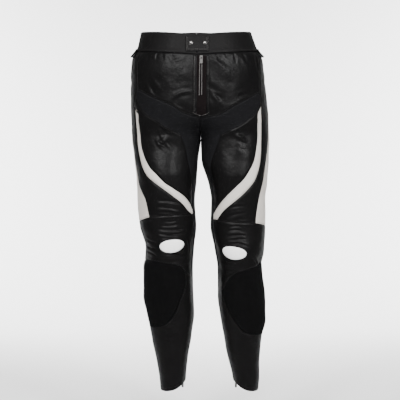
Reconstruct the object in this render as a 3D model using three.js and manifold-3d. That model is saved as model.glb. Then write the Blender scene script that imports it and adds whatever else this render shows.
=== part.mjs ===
// Leather motorcycle trousers: hollow, open at the waist and the hems, and held in their worn form.
// Millimetres, +Z up, front towards -Y. The origin is the middle of the waistband, where the wearer
// holds the trousers up. "right" and "left" are the wearer's, so the right leg lies on -X.
//
// Each half of the garment is one sheet. A place on it is (across, height): across runs from 0 at the
// front centre line or inseam, round the outside at 0.5, to 1 at the back centre line or inseam.

import * as THREE from 'three';
import { mergeVertices } from 'three/addons/utils/BufferGeometryUtils.js';
import Module from 'manifold-3d';

const wasm = await Module();
wasm.setup();

// ---- Driving dimensions ----

const WALL = 2; // leather with its bonded lining
const SEAM_GAP = 0.3; // between neighbouring pieces
const BAND_PROUD = 1.2; // the band is folded double
const BAND_WIDTH = 56;
const WAIST_FRONT = -19; // height of the middle of the band at the front centre
const WAIST_RISE = 36; // and how much higher it sits at the back centre
const SLIDER_PROUD = 3; // foam under the knee-slider panel
const CROTCH = -272;
const RISE_ROUNDING = 90; // height over which the seat closes in to the crotch
const LEG_ROUNDING = 110; // and over which, below it, the thigh turns from square to round
const HEM = -990;
const HEM_CUT = 26; // the hem rises by this much on the inner side
const BODY_POWER = 2.25; // squareness of the hip sections
const LEG_POWER = 2.1; // and of the leg sections
const COLUMNS = 12; // facets round one half
const CUT_STEP = 36; // length of one straight stretch of a seam cut
const BLADE_DEPTH = 15; // reach of a seam cut on each side of the cloth
const BLADE_OVERRUN = 3; // and past each end of its seam
const CLEAR = 0.3; // between a piece and what it lies on

const sides = [
  { sign: -1, name: 'right' },
  { sign: 1, name: 'left' },
];
const FRONT = new THREE.Vector3(0, -1, 0);
const UP = new THREE.Vector3(0, 0, 1);

// Sections of the body. centre is the sideways lean of the whole section.
const bodySections = [
  { height: 30, centre: -9, half: 155, front: -103, back: 99 },
  { height: -26, centre: -6, half: 173, front: -110, back: 106 },
  { height: -50, centre: -6, half: 186, front: -116, back: 114 },
  { height: -106, centre: -4, half: 191, front: -122, back: 128 },
  { height: -174, centre: -1, half: 195, front: -122, back: 136 },
  { height: -230, centre: 2, half: 196, front: -116, back: 132 },
  { height: -272, centre: 4, half: 196, front: -104, back: 114 },
  { height: -335, centre: 7, half: 191, front: -102, back: 96 },
  { height: -400, centre: 8, half: 186, front: -101, back: 84 },
];

// Sections of each leg. inner and outer are distances from the middle plane between the legs.
const legSections = {
  right: [
    { height: -230, inner: -2, outer: 194, front: -116, back: 132 },
    { height: -272, inner: -4, outer: 192, front: -104, back: 114 },
    { height: -335, inner: 4, outer: 184, front: -102, back: 96 },
    { height: -400, inner: 8, outer: 178, front: -101, back: 84 },
    { height: -450, inner: 13, outer: 177, front: -99, back: 76 },
    { height: -520, inner: 9, outer: 170, front: -96, back: 66 },
    { height: -586, inner: 15, outer: 152, front: -97, back: 54 },
    { height: -640, inner: 18, outer: 158, front: -88, back: 55 },
    { height: -724, inner: 17, outer: 159, front: -68, back: 74 },
    { height: -769, inner: 15, outer: 150, front: -60, back: 76 },
    { height: -827, inner: 21, outer: 138, front: -52, back: 66 },
    { height: -895, inner: 32, outer: 124, front: -45, back: 52 },
    { height: -950, inner: 38, outer: 115, front: -43, back: 46 },
    { height: -1010, inner: 42, outer: 109, front: -45, back: 44 },
  ],
  left: [
    { height: -230, inner: 2, outer: 198, front: -116, back: 132 },
    { height: -272, inner: 4, outer: 200, front: -104, back: 114 },
    { height: -335, inner: 7, outer: 198, front: -102, back: 96 },
    { height: -400, inner: 26, outer: 194, front: -101, back: 84 },
    { height: -450, inner: 34, outer: 188, front: -99, back: 76 },
    { height: -520, inner: 32, outer: 188, front: -96, back: 66 },
    { height: -586, inner: 44, outer: 184, front: -97, back: 54 },
    { height: -640, inner: 52, outer: 179, front: -90, back: 55 },
    { height: -724, inner: 53, outer: 188, front: -70, back: 74 },
    { height: -792, inner: 62, outer: 190, front: -58, back: 74 },
    { height: -838, inner: 71, outer: 179, front: -51, back: 64 },
    { height: -895, inner: 81, outer: 173, front: -45, back: 52 },
    { height: -950, inner: 94, outer: 171, front: -43, back: 46 },
    { height: -1010, inner: 104, outer: 167, front: -45, back: 44 },
  ],
};

// The broad folds and domes. length runs along the fold, spread across it, lift is outward, and tilt
// is the angle of the fold below the horizontal as it runs outward.
const folds = [
  { side: 'left', across: 0.1, height: -85, length: 50, spread: 15, lift: 3.5, tilt: 39 },
  { side: 'left', across: 0.06, height: -128, length: 38, spread: 13, lift: 2.5, tilt: 40 },
  { side: 'left', across: 0.25, height: -90, length: 30, spread: 13, lift: 2, tilt: 50 },
  { side: 'right', across: 0.07, height: -158, length: 40, spread: 14, lift: 3, tilt: 18 },
  { side: 'right', across: 0.07, height: -196, length: 30, spread: 14, lift: -2.5, tilt: 10 },
  { side: 'right', across: 0.25, height: -300, length: 55, spread: 18, lift: 2.5, tilt: 35 },
  { side: 'left', across: 0.23, height: -310, length: 55, spread: 18, lift: 3, tilt: 30 },
  { side: 'right', across: 0.235, height: -578, length: 46, spread: 30, lift: 5, tilt: 6 },
  { side: 'left', across: 0.21, height: -596, length: 46, spread: 30, lift: 5, tilt: -6 },
  { side: 'right', across: 0.42, height: -612, length: 40, spread: 14, lift: -4, tilt: 8 },
  { side: 'left', across: 0.42, height: -620, length: 40, spread: 14, lift: -4, tilt: 12 },
  { side: 'right', across: 0.76, height: -584, length: 60, spread: 15, lift: -5, tilt: 3 },
  { side: 'left', across: 0.76, height: -590, length: 60, spread: 15, lift: -5, tilt: -3 },
  { side: 'right', across: 0.74, height: -545, length: 55, spread: 15, lift: 3.5, tilt: -4 },
  { side: 'left', across: 0.74, height: -548, length: 55, spread: 15, lift: 3.5, tilt: 5 },
  { side: 'right', across: 0.78, height: -318, length: 60, spread: 18, lift: -4, tilt: 4 },
  { side: 'left', across: 0.78, height: -322, length: 60, spread: 18, lift: -4, tilt: 5 },
];

// ---- The sheet ----

// Monotone cubic through one column of a table of sections.
function columnAt(table, key, height) {
  const rows = table.slice().reverse();
  const last = rows.length - 1;
  const h = THREE.MathUtils.clamp(height, rows[0].height, rows[last].height);
  const i = Math.min(Math.max(rows.findIndex((row) => row.height > h) - 1, 0), last);
  const k = h >= rows[last].height ? last - 1 : i;
  const run = (n) => rows[n + 1].height - rows[n].height;
  const slope = (n) => (rows[n + 1][key] - rows[n][key]) / run(n);
  const tangent = (n) => {
    if (n === 0) return slope(0);
    if (n === last) return slope(last - 1);
    const before = slope(n - 1);
    const after = slope(n);
    if (before * after <= 0) return 0;
    const first = 2 * run(n) + run(n - 1);
    const second = run(n) + 2 * run(n - 1);
    return (first + second) / (first / before + second / after);
  };
  const t = (h - rows[k].height) / run(k);
  const start = (1 + 2 * t) * (1 - t) ** 2 * rows[k][key] + t * (1 - t) ** 2 * run(k) * tangent(k);
  const end = t * t * (3 - 2 * t) * rows[k + 1][key] + t * t * (t - 1) * run(k) * tangent(k + 1);
  return start + end;
}

const power = (value, exponent) => Math.sign(value) * Math.abs(value) ** exponent;

// Middle of the waistband round the body: low at the front centre, high at the back.
const waistLine = (across) => WAIST_FRONT + WAIST_RISE * THREE.MathUtils.clamp(across, 0, 1) ** 0.82;

// How far the leg's loop has opened into half of the body: 0 in the leg, 1 in the body. At the inseam
// it opens sharply at the crotch, and farther round the leg it starts lower and goes softly.
function openness(across, height) {
  const round = THREE.MathUtils.smoothstep(Math.min(across, 1 - across), 0, 0.12);
  const run = RISE_ROUNDING + LEG_ROUNDING * round;
  const left = THREE.MathUtils.clamp((CROTCH + RISE_ROUNDING - height) / run, 0, 1);
  return (1 - left * left) ** (0.5 + round);
}

// The smooth form without folds. A section of the leg is a closed superellipse, and a section of the
// body is one half of a wider one.
function formPoint(side, across, height) {
  const body = (key) => columnAt(bodySections, key, height);
  const above = height > CROTCH;
  const leg = above ? body : (key) => columnAt(legSections[side.name], key, height);
  const outer = above ? body('half') : leg('outer');
  const inner = above ? 0 : leg('inner');
  const legCentre = above ? body('centre') : 0;
  const angle = 2 * Math.PI * across;
  const round = (outer + inner - (outer - inner) * power(Math.cos(angle), 2 / LEG_POWER)) / 2;
  const deep = (leg('back') - leg('front')) * power(Math.sin(angle), 2 / LEG_POWER);
  const legX = legCentre + side.sign * round;
  const legY = (leg('front') + leg('back') - deep) / 2;
  const half = angle / 2;
  const bodyX = body('centre') + side.sign * body('half') * power(Math.sin(half), 2 / BODY_POWER);
  const bodyDeep = (body('back') - body('front')) * power(Math.cos(half), 2 / BODY_POWER);
  const bodyY = (body('front') + body('back') - bodyDeep) / 2;
  const open = openness(across, height);
  const { lerp } = THREE.MathUtils;
  return new THREE.Vector3(lerp(legX, bodyX, open), lerp(legY, bodyY, open), height);
}

// Outward unit normal, from small steps along the sheet.
function outward(side, across, height) {
  const step = 0.004;
  const a = THREE.MathUtils.clamp(across, step, 1 - step);
  const along = formPoint(side, a + step, height).sub(formPoint(side, a - step, height));
  const rise = formPoint(side, a, height + 3).sub(formPoint(side, a, height - 3));
  return rise.cross(along).multiplyScalar(-side.sign).normalize();
}

// Length round one half at this height, for sizes that are given in millimetres.
function girth(side, height) {
  const leg = (key) => columnAt(legSections[side.name], key, Math.min(height, CROTCH));
  const round = (Math.PI * (leg('outer') - leg('inner') + leg('back') - leg('front'))) / 2;
  return height > CROTCH + RISE_ROUNDING / 2 ? Math.min(round, 510) : round;
}

// Height of the cloth above its smooth form: each fold is a soft oval ridge or trough.
function foldLift(side, across, height) {
  return folds
    .filter((fold) => fold.side === side.name)
    .reduce((lift, fold) => {
      const x = (across - fold.across) * girth(side, fold.height);
      const z = height - fold.height;
      const tilt = THREE.MathUtils.degToRad(fold.tilt);
      const alongFold = (x * Math.cos(tilt) - z * Math.sin(tilt)) / fold.length;
      const acrossFold = (x * Math.sin(tilt) + z * Math.cos(tilt)) / fold.spread;
      return lift + fold.lift * Math.exp(-(alongFold ** 2) - acrossFold ** 2);
    }, 0);
}

// Moves a point at the edge of a half back by half a seam gap, so the halves never touch.
function keepOffCentre(point, side, across, height, gap) {
  const centre = columnAt(bodySections, 'centre', Math.max(height, CROTCH));
  if (height >= CROTCH) {
    const reach = side.sign * (point.x - centre);
    if (reach < gap || across === 0 || across === 1) point.x = centre + side.sign * gap;
  }
  if (height <= CROTCH && (across === 0 || across === 1)) {
    const leg = (key) => columnAt(legSections[side.name], key, height);
    const middle = (leg('front') + leg('back')) / 2;
    point.y = middle + (across === 0 ? -gap : gap);
  }
  return point;
}

// A point of the cloth, moved out from its surface by lift.
function clothPoint(side, across, height, lift, gap = SEAM_GAP / 2) {
  const out = outward(side, across, height);
  const point = formPoint(side, across, height);
  point.addScaledVector(out, foldLift(side, across, height) + lift);
  return keepOffCentre(point, side, across, height, gap);
}

// Levels from the rim to the hem. A level follows the waist line near the rim and the hem's cut below.
const risingLevels = [90, 68, 46, 24, 0].map(
  (degrees) => CROTCH + RISE_ROUNDING * (1 - Math.cos(THREE.MathUtils.degToRad(degrees))),
);
const levels = [
  BAND_WIDTH / 2, -BAND_WIDTH / 2, -60, -120,
  ...risingLevels,
  -330, -400, -465, -525, -558, -586, -614, -650,
  -715, -785, -860, -930, HEM,
];

function levelHeight(level, across) {
  const waist = THREE.MathUtils.smoothstep(level, -180, -BAND_WIDTH / 2) * waistLine(across);
  const hemCut = HEM_CUT * ((1 + Math.cos(2 * Math.PI * across)) / 2) ** 3;
  return level + waist + (1 - THREE.MathUtils.smoothstep(level, HEM, -850)) * hemCut;
}

// ---- Solids ----

function toSolid(geometry) {
  const bare = new THREE.BufferGeometry();
  bare.setAttribute('position', geometry.getAttribute('position'));
  bare.setIndex(geometry.getIndex());
  const merged = mergeVertices(bare, 1e-4);
  const mesh = new wasm.Mesh({
    numProp: 3,
    vertProperties: merged.getAttribute('position').array,
    triVerts: new Uint32Array(merged.getIndex().array),
  });
  mesh.merge();
  return new wasm.Manifold(mesh);
}

function toGeometry(solid) {
  const mesh = solid.getMesh();
  const geometry = new THREE.BufferGeometry();
  const stride = mesh.numProp;
  const positions = new Float32Array((mesh.vertProperties.length / stride) * 3);
  for (let i = 0; i < positions.length / 3; i += 1) {
    positions.set(mesh.vertProperties.subarray(i * stride, i * stride + 3), i * 3);
  }
  geometry.setAttribute('position', new THREE.BufferAttribute(positions, 3));
  geometry.setIndex(new THREE.BufferAttribute(new Uint32Array(mesh.triVerts), 1));
  return geometry;
}

// A closed solid from a grid of point pairs: pairs[row][column] = { outer, inner }.
function wallSolid(pairs) {
  const rows = pairs.length;
  const columns = pairs[0].length;
  const positions = [];
  pairs.flat().forEach(({ outer, inner }) => positions.push(...outer.toArray(), ...inner.toArray()));
  const last = columns - 1;
  const at = (row, column, layer) => 2 * (row * columns + column) + layer;
  const index = [];
  const quad = (a, b, c, d) => index.push(a, b, c, a, c, d);
  for (let r = 0; r < rows - 1; r += 1) {
    for (let c = 0; c < columns - 1; c += 1) {
      quad(at(r, c, 0), at(r + 1, c, 0), at(r + 1, c + 1, 0), at(r, c + 1, 0));
      quad(at(r, c, 1), at(r, c + 1, 1), at(r + 1, c + 1, 1), at(r + 1, c, 1));
    }
  }
  for (let c = 0; c < columns - 1; c += 1) {
    quad(at(0, c, 0), at(0, c + 1, 0), at(0, c + 1, 1), at(0, c, 1));
    quad(at(rows - 1, c, 0), at(rows - 1, c, 1), at(rows - 1, c + 1, 1), at(rows - 1, c + 1, 0));
  }
  for (let r = 0; r < rows - 1; r += 1) {
    quad(at(r, 0, 0), at(r, 0, 1), at(r + 1, 0, 1), at(r + 1, 0, 0));
    quad(at(r, last, 0), at(r + 1, last, 0), at(r + 1, last, 1), at(r, last, 1));
  }
  const geometry = new THREE.BufferGeometry();
  geometry.setAttribute('position', new THREE.BufferAttribute(new Float32Array(positions), 3));
  geometry.setIndex(index);
  if (signedVolume(positions, index) < 0) geometry.setIndex(index.slice().reverse());
  return toSolid(geometry);
}

function signedVolume(positions, index) {
  const corner = (n) => new THREE.Vector3().fromArray(positions, 3 * index[n]);
  let total = 0;
  for (let i = 0; i < index.length; i += 3) {
    total += corner(i).dot(corner(i + 1).cross(corner(i + 2)));
  }
  return total / 6;
}

const allColumns = Array.from({ length: COLUMNS + 1 }, (_, n) => n / COLUMNS);

// A point of the faceted sheet on one of its levels: straight between the two nearest columns.
function facetPoint(side, across, level, lift, gap) {
  const low = Math.min(Math.floor(across * COLUMNS + 1e-9), COLUMNS - 1);
  const [start, end] = [low / COLUMNS, (low + 1) / COLUMNS].map((column) =>
    clothPoint(side, column, levelHeight(level, column), lift, gap),
  );
  return start.lerp(end, across * COLUMNS - low);
}

// A layer of one half, between two distances out from the cloth's surface.
function layer(side, from, to, { columns = allColumns, rows = levels, gap = SEAM_GAP / 2 } = {}) {
  const distance = (value, level) => (typeof value === 'function' ? value(level) : value);
  return wallSolid(
    rows.map((level) =>
      columns.map((across) => ({
        outer: facetPoint(side, across, level, distance(to, level), gap),
        inner: facetPoint(side, across, level, distance(from, level), gap),
      })),
    ),
  );
}

// ---- Seams ----

// Each seam is a smooth line through (across, height) places.
const seams = {
  right: {
    bandSide: [[0.281, 34], [0.263, 2], [0.27, -14], [0.31, -25], [0.4, -31]],
    bandBack: [[0.62, 36], [0.62, -22]],
    hipFront: [[0.37, -29.5], [0.35, -85], [0.341, -140], [0.36, -156], [0.384, -184]],
    hipBack: [[0.6, -22], [0.61, -120], [0.612, -220], [0.625, -330], [0.64, -430], [0.65, -514]],
    vee: [[0.341, -140], [0.3, -145], [0.245, -157], [0.155, -178], [0.107, -190], [0.07, -207],
      [0.028, -216], [0, -222]],
    thighTop: [[0.361, -157], [0.34, -173], [0.274, -209], [0.207, -231], [0.138, -256], [0.1, -268]],
    inseamFront: [[0.1, -268], [0.1, -282], [0.1, -309], [0.107, -360], [0.09, -396], [0.067, -440],
      [0.066, -490], [0.06, -560], [0.052, -640], [0, -700]],
    stripeInner: [[0.384, -184], [0.343, -203], [0.343, -236], [0.347, -269], [0.356, -303],
      [0.348, -332], [0.326, -360], [0.297, -378], [0.253, -403], [0.201, -421], [0.144, -438],
      [0.094, -457], [0.066, -475]],
    stripeOuter: [[0.384, -184], [0.369, -203], [0.371, -236], [0.377, -269], [0.388, -303],
      [0.388, -332], [0.378, -358], [0.354, -381], [0.321, -395], [0.266, -416], [0.21, -438],
      [0.157, -457], [0.116, -477], [0.085, -487]],
    sideFront: [[0.5, -150], [0.474, -200], [0.462, -300], [0.456, -360], [0.436, -403],
      [0.399, -427], [0.368, -449], [0.354, -478], [0.348, -497]],
    sideBack: [[0.5, -150], [0.545, -200], [0.59, -270], [0.628, -323]],
    kneeTopOuter: [[0.652, -513], [0.5, -508], [0.427, -505], [0.348, -497]],
    kneeTopInner: [[0.348, -497], [0.282, -495], [0.205, -492], [0.12, -489], [0.066, -487]],
    sideSeam: [[0.56, -510], [0.56, -620], [0.56, -800], [0.56, -1010]],
    neckInner: [[0.13, -654.5], [0.02, -664]],
    neckOuter: [[0.44, -616], [0.5, -618], [0.56, -622]],
    seatFold: [[0.62, -306], [0.75, -313], [0.9, -313]],
    inseamBack: [[1, -236], [0.95, -244], [0.915, -258], [0.9, -272], [0.893, -292], [0.9, -370],
      [0.93, -450], [0.935, -520], [0.945, -640], [1, -705]],
    kneeBack: [[0.56, -565], [0.75, -560], [0.944, -560]],
    sliderTop: [[0.44, -616], [0.36, -619], [0.267, -625], [0.172, -634], [0.125, -655]],
    sliderInner: [[0.125, -655], [0.13, -690], [0.165, -722], [0.21, -762], [0.275, -796],
      [0.36, -806], [0.44, -810]],
    sliderOuter: [[0.44, -810], [0.445, -712], [0.44, -616]],
  },
  left: {
    bandSide: [[0.44, 36], [0.435, -29]],
    bandBack: [[0.62, 36], [0.62, -22]],
    hipFront: [[0.387, -29], [0.372, -75], [0.352, -120], [0.343, -148], [0.348, -165], [0.345, -186]],
    hipBack: [[0.6, -22], [0.61, -120], [0.612, -220], [0.625, -330], [0.64, -430], [0.65, -527]],
    vee: [[0.343, -148], [0.299, -153], [0.214, -172], [0.138, -193], [0.087, -212], [0.031, -220],
      [0, -222]],
    thighTop: [[0.349, -172], [0.297, -202], [0.24, -225], [0.176, -247], [0.102, -268]],
    inseamFront: [[0.102, -268], [0.099, -282], [0.097, -323], [0.097, -368], [0.081, -400],
      [0.067, -440], [0.066, -503], [0.06, -570], [0.052, -655], [0, -715]],
    stripeInner: [[0.345, -186], [0.311, -205], [0.309, -236], [0.318, -270], [0.323, -299],
      [0.326, -326], [0.322, -346], [0.307, -366], [0.281, -388], [0.229, -416], [0.168, -443],
      [0.115, -466], [0.067, -489]],
    stripeOuter: [[0.345, -186], [0.341, -207], [0.344, -236], [0.351, -281], [0.363, -315],
      [0.366, -348], [0.356, -371], [0.337, -393], [0.301, -416], [0.248, -443], [0.199, -463],
      [0.162, -477], [0.127, -494], [0.11, -504]],
    sideFront: [[0.5, -155], [0.462, -210], [0.436, -270], [0.424, -330], [0.41, -380],
      [0.399, -403], [0.383, -435], [0.368, -463], [0.357, -490], [0.353, -513]],
    sideBack: [[0.5, -155], [0.545, -205], [0.59, -272], [0.628, -323]],
    kneeTopOuter: [[0.652, -526], [0.5, -521], [0.427, -518], [0.353, -513]],
    kneeTopInner: [[0.353, -513], [0.282, -514], [0.202, -511], [0.11, -504], [0.066, -503]],
    sideSeam: [[0.56, -523], [0.56, -620], [0.56, -800], [0.56, -1010]],
    neckInner: [[0.096, -703], [0.012, -694]],
    neckOuter: [[0.44, -624], [0.5, -626], [0.56, -630]],
    seatFold: [[0.62, -306], [0.75, -313], [0.9, -313]],
    inseamBack: [[1, -236], [0.95, -244], [0.915, -258], [0.9, -272], [0.893, -292], [0.9, -370],
      [0.93, -450], [0.935, -520], [0.945, -650], [1, -720]],
    kneeBack: [[0.56, -572], [0.75, -566], [0.944, -566]],
    sliderTop: [[0.44, -624], [0.365, -635], [0.245, -649], [0.157, -673], [0.096, -703]],
    sliderInner: [[0.096, -703], [0.116, -731], [0.156, -770], [0.208, -803], [0.258, -823],
      [0.35, -829], [0.44, -831]],
    sliderOuter: [[0.44, -831], [0.445, -728], [0.44, -624]],
  },
};
const bandSeam = [0, 0.06, 0.125, 0.25, 0.375, 0.5, 0.625, 0.75, 0.875, 1].map((across) => [
  across,
  waistLine(across) - BAND_WIDTH / 2,
]);

// Places along a seam: its own, and between two that lie far apart, more on the smooth line.
function seamPlaces(side, places) {
  const curve = new THREE.SplineCurve(places.map(([across, height]) => new THREE.Vector2(across, height)));
  const spans = places.length - 1;
  return places.flatMap(([across, height], n) => {
    if (n === spans) return [new THREE.Vector2(across, height)];
    const [nextAcross, nextHeight] = places[n + 1];
    const reach = formPoint(side, across, height).distanceTo(formPoint(side, nextAcross, nextHeight));
    const pieces = Math.max(1, Math.round(reach / CUT_STEP));
    return Array.from({ length: pieces }, (_, k) => curve.getPoint((n + k / pieces) / spans));
  });
}

// A thin blade along a seam. Subtracting it leaves the seam gap between the two sides.
function blade(side, places) {
  const stations = seamPlaces(side, places).map((place) => ({
    at: clothPoint(side, place.x, place.y, 0, 0),
    out: outward(side, place.x, place.y),
  }));
  const first = stations[0];
  const last = stations[stations.length - 1];
  const start = first.at.clone().sub(stations[1].at).setLength(BLADE_OVERRUN);
  const end = last.at.clone().sub(stations[stations.length - 2].at).setLength(BLADE_OVERRUN);
  first.at = first.at.clone().add(start);
  last.at = last.at.clone().add(end);
  const pairs = [-1, 1].map((edge) =>
    stations.map(({ at, out }, n) => {
      const before = stations[Math.max(n - 1, 0)].at;
      const after = stations[Math.min(n + 1, stations.length - 1)].at;
      const sideways = after.clone().sub(before).cross(out).setLength((edge * SEAM_GAP) / 2);
      const middle = at.clone().add(sideways);
      return {
        outer: middle.clone().addScaledVector(out, BLADE_DEPTH),
        inner: middle.clone().addScaledVector(out, -BLADE_DEPTH),
      };
    }),
  );
  return wallSolid(pairs);
}

// Splits a sheet along seams, and returns the pieces that hold the named places.
function cutPanels(side, sheet, cuts, wanted) {
  const blades = cuts.map((places) => blade(side, places));
  const parts = sheet.subtract(wasm.Manifold.union(blades)).decompose();
  const surfaces = parts.map((part) => toGeometry(part).toNonIndexed().getAttribute('position'));
  const triangle = new THREE.Triangle();
  const nearest = new THREE.Vector3();
  const distance = (surface, point) => {
    let best = Infinity;
    for (let i = 0; i < surface.count; i += 3) {
      triangle.setFromAttributeAndIndices(surface, i, i + 1, i + 2);
      best = Math.min(best, triangle.closestPointToPoint(point, nearest).distanceTo(point));
    }
    return best;
  };
  const taken = new Map();
  return Object.entries(wanted).map(([name, [across, height]]) => {
    const point = clothPoint(side, across, height, 0);
    const reach = surfaces.map((surface) => distance(surface, point));
    const chosen = reach.indexOf(Math.min(...reach));
    if (taken.has(chosen)) {
      throw new Error(`${name} is not cut free of ${taken.get(chosen)} on the ${side.name}`);
    }
    taken.set(chosen, name);
    return { name: `${name}_${side.name}`, solid: parts[chosen] };
  });
}

// ---- Materials ----

const finish = (color, roughness, metalness = 0) => ({ color, roughness, metalness });
const finishes = {
  leather: finish(0x1b1a1c, 0.42),
  stretch: finish(0x141417, 0.95),
  offWhite: finish(0xd2ccc4, 0.55),
  hook: finish(0x0b0b0d, 1),
  patch: finish(0xf2f2f0, 0.5),
  tape: finish(0x121214, 0.9),
  metal: finish(0xb8b8ba, 0.3, 1),
};

const garment = new THREE.Group();

function addPiece(name, geometry, kind) {
  const mesh = new THREE.Mesh(geometry, new THREE.MeshStandardMaterial(finishes[kind]));
  mesh.name = name;
  garment.add(mesh);
  return mesh;
}

// ---- Cut panels ----

// A place that lies on each panel, and the panel's finish.
const panels = {
  upper_front: { place: [0.15, -110], kind: 'leather' },
  hip_outer: { place: [0.45, -100], kind: 'leather' },
  stretch_front: { place: [0.16, -212], kind: 'stretch' },
  thigh_front: { place: [0.22, -330], kind: 'leather' },
  front_stripe: { place: [0.235, -422], kind: 'offWhite' },
  side_stripe: { place: [0.5, -400], kind: 'offWhite' },
  knee: { place: [0.22, -560], kind: 'leather' },
  shin: { place: [0.25, -880], kind: 'leather' },
  seat: { place: [0.8, -150], kind: 'leather' },
  stretch_back: { place: [0.95, -330], kind: 'stretch' },
  thigh_back: { place: [0.78, -430], kind: 'leather' },
  calf: { place: [0.7, -800], kind: 'leather' },
};
const stripePlace = { right: [0.232, -422], left: [0.225, -434] };
const bandPieces = {
  waistband_front: [0.12, -13],
  waistband_side: [0.5, 4],
  waistband_back: [0.8, 11],
};
const sliderPlace = { right: [0.28, -700], left: [0.28, -720] };

sides.forEach((side) => {
  const lines = seams[side.name];
  const { bandSide, bandBack, ...below } = lines;
  const places = Object.fromEntries(Object.entries(panels).map(([name, { place }]) => [name, place]));
  places.front_stripe = stripePlace[side.name];
  const cuts = [bandSeam, ...Object.values(below)];
  cutPanels(side, layer(side, -WALL, 0), cuts, places).forEach(({ name, solid }) => {
    const { kind } = panels[name.replace(`_${side.name}`, '')];
    addPiece(name, toGeometry(solid), kind);
  });
  const bandRows = levels.slice(0, 3);
  const doubled = layer(side, -WALL, BAND_PROUD, { rows: bandRows });
  cutPanels(side, doubled, [bandSeam, bandSide, bandBack], bandPieces).forEach(({ name, solid }) =>
    addPiece(name, toGeometry(solid), 'leather'),
  );
  const sliderRows = levels.filter((level) => level < -570 && level > -880);
  const sliderColumns = allColumns.filter((across) => across <= 0.5);
  const padded = layer(side, -WALL, SLIDER_PROUD, { rows: sliderRows, columns: sliderColumns });
  const outline = [lines.sliderTop, lines.sliderInner, lines.sliderOuter];
  cutPanels(side, padded, outline, { knee_slider: sliderPlace[side.name] }).forEach(({ name, solid }) =>
    addPiece(name, toGeometry(solid), 'hook'),
  );
});

// ---- What lies on the panels ----

// A flat outline in the vertical plane, pushed right through the cloth along outwards.
function punch(shape, centre, outwards) {
  const reach = 30;
  const geometry = new THREE.ExtrudeGeometry(shape, { depth: 2 * reach, bevelEnabled: false });
  geometry.translate(0, 0, -reach);
  const level = UP.clone().cross(outwards).normalize();
  const turn = new THREE.Matrix4().makeBasis(level, outwards.clone().cross(level), outwards);
  geometry.applyMatrix4(turn.setPosition(centre));
  geometry.deleteAttribute('normal');
  geometry.deleteAttribute('uv');
  return toSolid(mergeVertices(geometry, 1e-4));
}

function rectangle(left, bottom, right, top) {
  return new THREE.Shape([
    new THREE.Vector2(left, bottom),
    new THREE.Vector2(right, bottom),
    new THREE.Vector2(right, top),
    new THREE.Vector2(left, top),
  ]);
}


// A layer over the front centre, one piece across the centre line, cut to a shape seen from the front.
function frontPiece(shape, from, to, rows) {
  const columns = allColumns.slice(0, 3);
  const gap = -0.05; // the two halves run into each other
  const [rightHalf, leftHalf] = sides.map((side) => layer(side, from, to, { columns, rows, gap }));
  const cutter = punch(shape, new THREE.Vector3(0, -115, 0), FRONT);
  return toGeometry(rightHalf.add(leftHalf).intersect(cutter));
}

const flyRows = levels.filter((level) => level < 0 && level > CROTCH);

// Waist tab: a double strap of leather across the front of the band, with two domed snaps.
const tab = { left: -38, right: 27, bottom: -39, top: 5, thick: 2.4 };
const tabBase = BAND_PROUD + CLEAR;
const tabShape = rectangle(tab.left, tab.bottom, tab.right, tab.top);
const tabRows = [BAND_WIDTH / 2, -BAND_WIDTH / 2];
addPiece('waist_tab', frontPiece(tabShape, tabBase, tabBase + tab.thick, tabRows), 'leather');

// Fly: a zip on its tape between two raised edges. A zip's chain is one plain strip of solid here.
const fly = { centre: 5.5, top: -51, bottom: -214, zipBottom: -160 };
const flyEdge = { width: 9, thick: 1.6 };
const tape = { width: 27, thick: 0.9 };
const chain = { width: 6, thick: 1.5 };
const tapeTop = CLEAR + tape.thick;
const chainTop = tapeTop + CLEAR + chain.thick;
const edgeShape = (x) => rectangle(x - flyEdge.width / 2, fly.bottom, x + flyEdge.width / 2, fly.top);
const edgeOffset = tape.width / 2 + flyEdge.width / 2 + CLEAR;
const edgeGeometry = (x) => frontPiece(edgeShape(x), CLEAR, CLEAR + flyEdge.thick, flyRows);
addPiece('fly_edge_right', edgeGeometry(fly.centre - edgeOffset), 'leather');
addPiece('fly_edge_left', edgeGeometry(fly.centre + edgeOffset), 'leather');
const tapeShape = rectangle(fly.centre - tape.width / 2, fly.bottom, fly.centre + tape.width / 2, fly.top);
addPiece('fly_tape', frontPiece(tapeShape, CLEAR, tapeTop, flyRows), 'tape');
const SLIDER_LENGTH = 9;
const chainShape = rectangle(
  fly.centre - chain.width / 2,
  fly.zipBottom,
  fly.centre + chain.width / 2,
  fly.top - SLIDER_LENGTH - 1,
);
addPiece('fly_chain', frontPiece(chainShape, tapeTop + CLEAR, chainTop, flyRows), 'metal');

// Guard flap of the connecting zip: hangs under the band from hip to centre back, standing off below.
const flap = { length: 25, thick: 2, topOff: 1.6, bottomOff: 7, front: 5 / COLUMNS };
sides.forEach((side) => {
  const columns = allColumns.filter((across) => across >= flap.front);
  const top = -BAND_WIDTH / 2 - 1;
  const bottom = top - flap.length;
  const stand = (level) => THREE.MathUtils.mapLinear(level, bottom, top, flap.bottomOff, flap.topOff);
  const outer = (level) => stand(level) + flap.thick;
  const solid = layer(side, stand, outer, { columns, rows: [top, (top + bottom) / 2, bottom] });
  addPiece(`zip_flap_${side.name}`, toGeometry(solid), 'leather');
});

// Calf zip: a strip of tape and teeth up the inner back of the calf, so that a foot can pass the hem.
const calfTape = { across: 0.858, halfSpan: 0.016, top: -785, thick: 1.4 };
sides.forEach((side) => {
  const { across, halfSpan, top, thick } = calfTape;
  const columns = [across - halfSpan, across + halfSpan];
  const rows = levels.filter((level) => level <= top);
  const strip = layer(side, CLEAR, CLEAR + thick, { columns, rows });
  addPiece(`calf_zip_${side.name}`, toGeometry(strip), 'tape');
});

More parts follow.
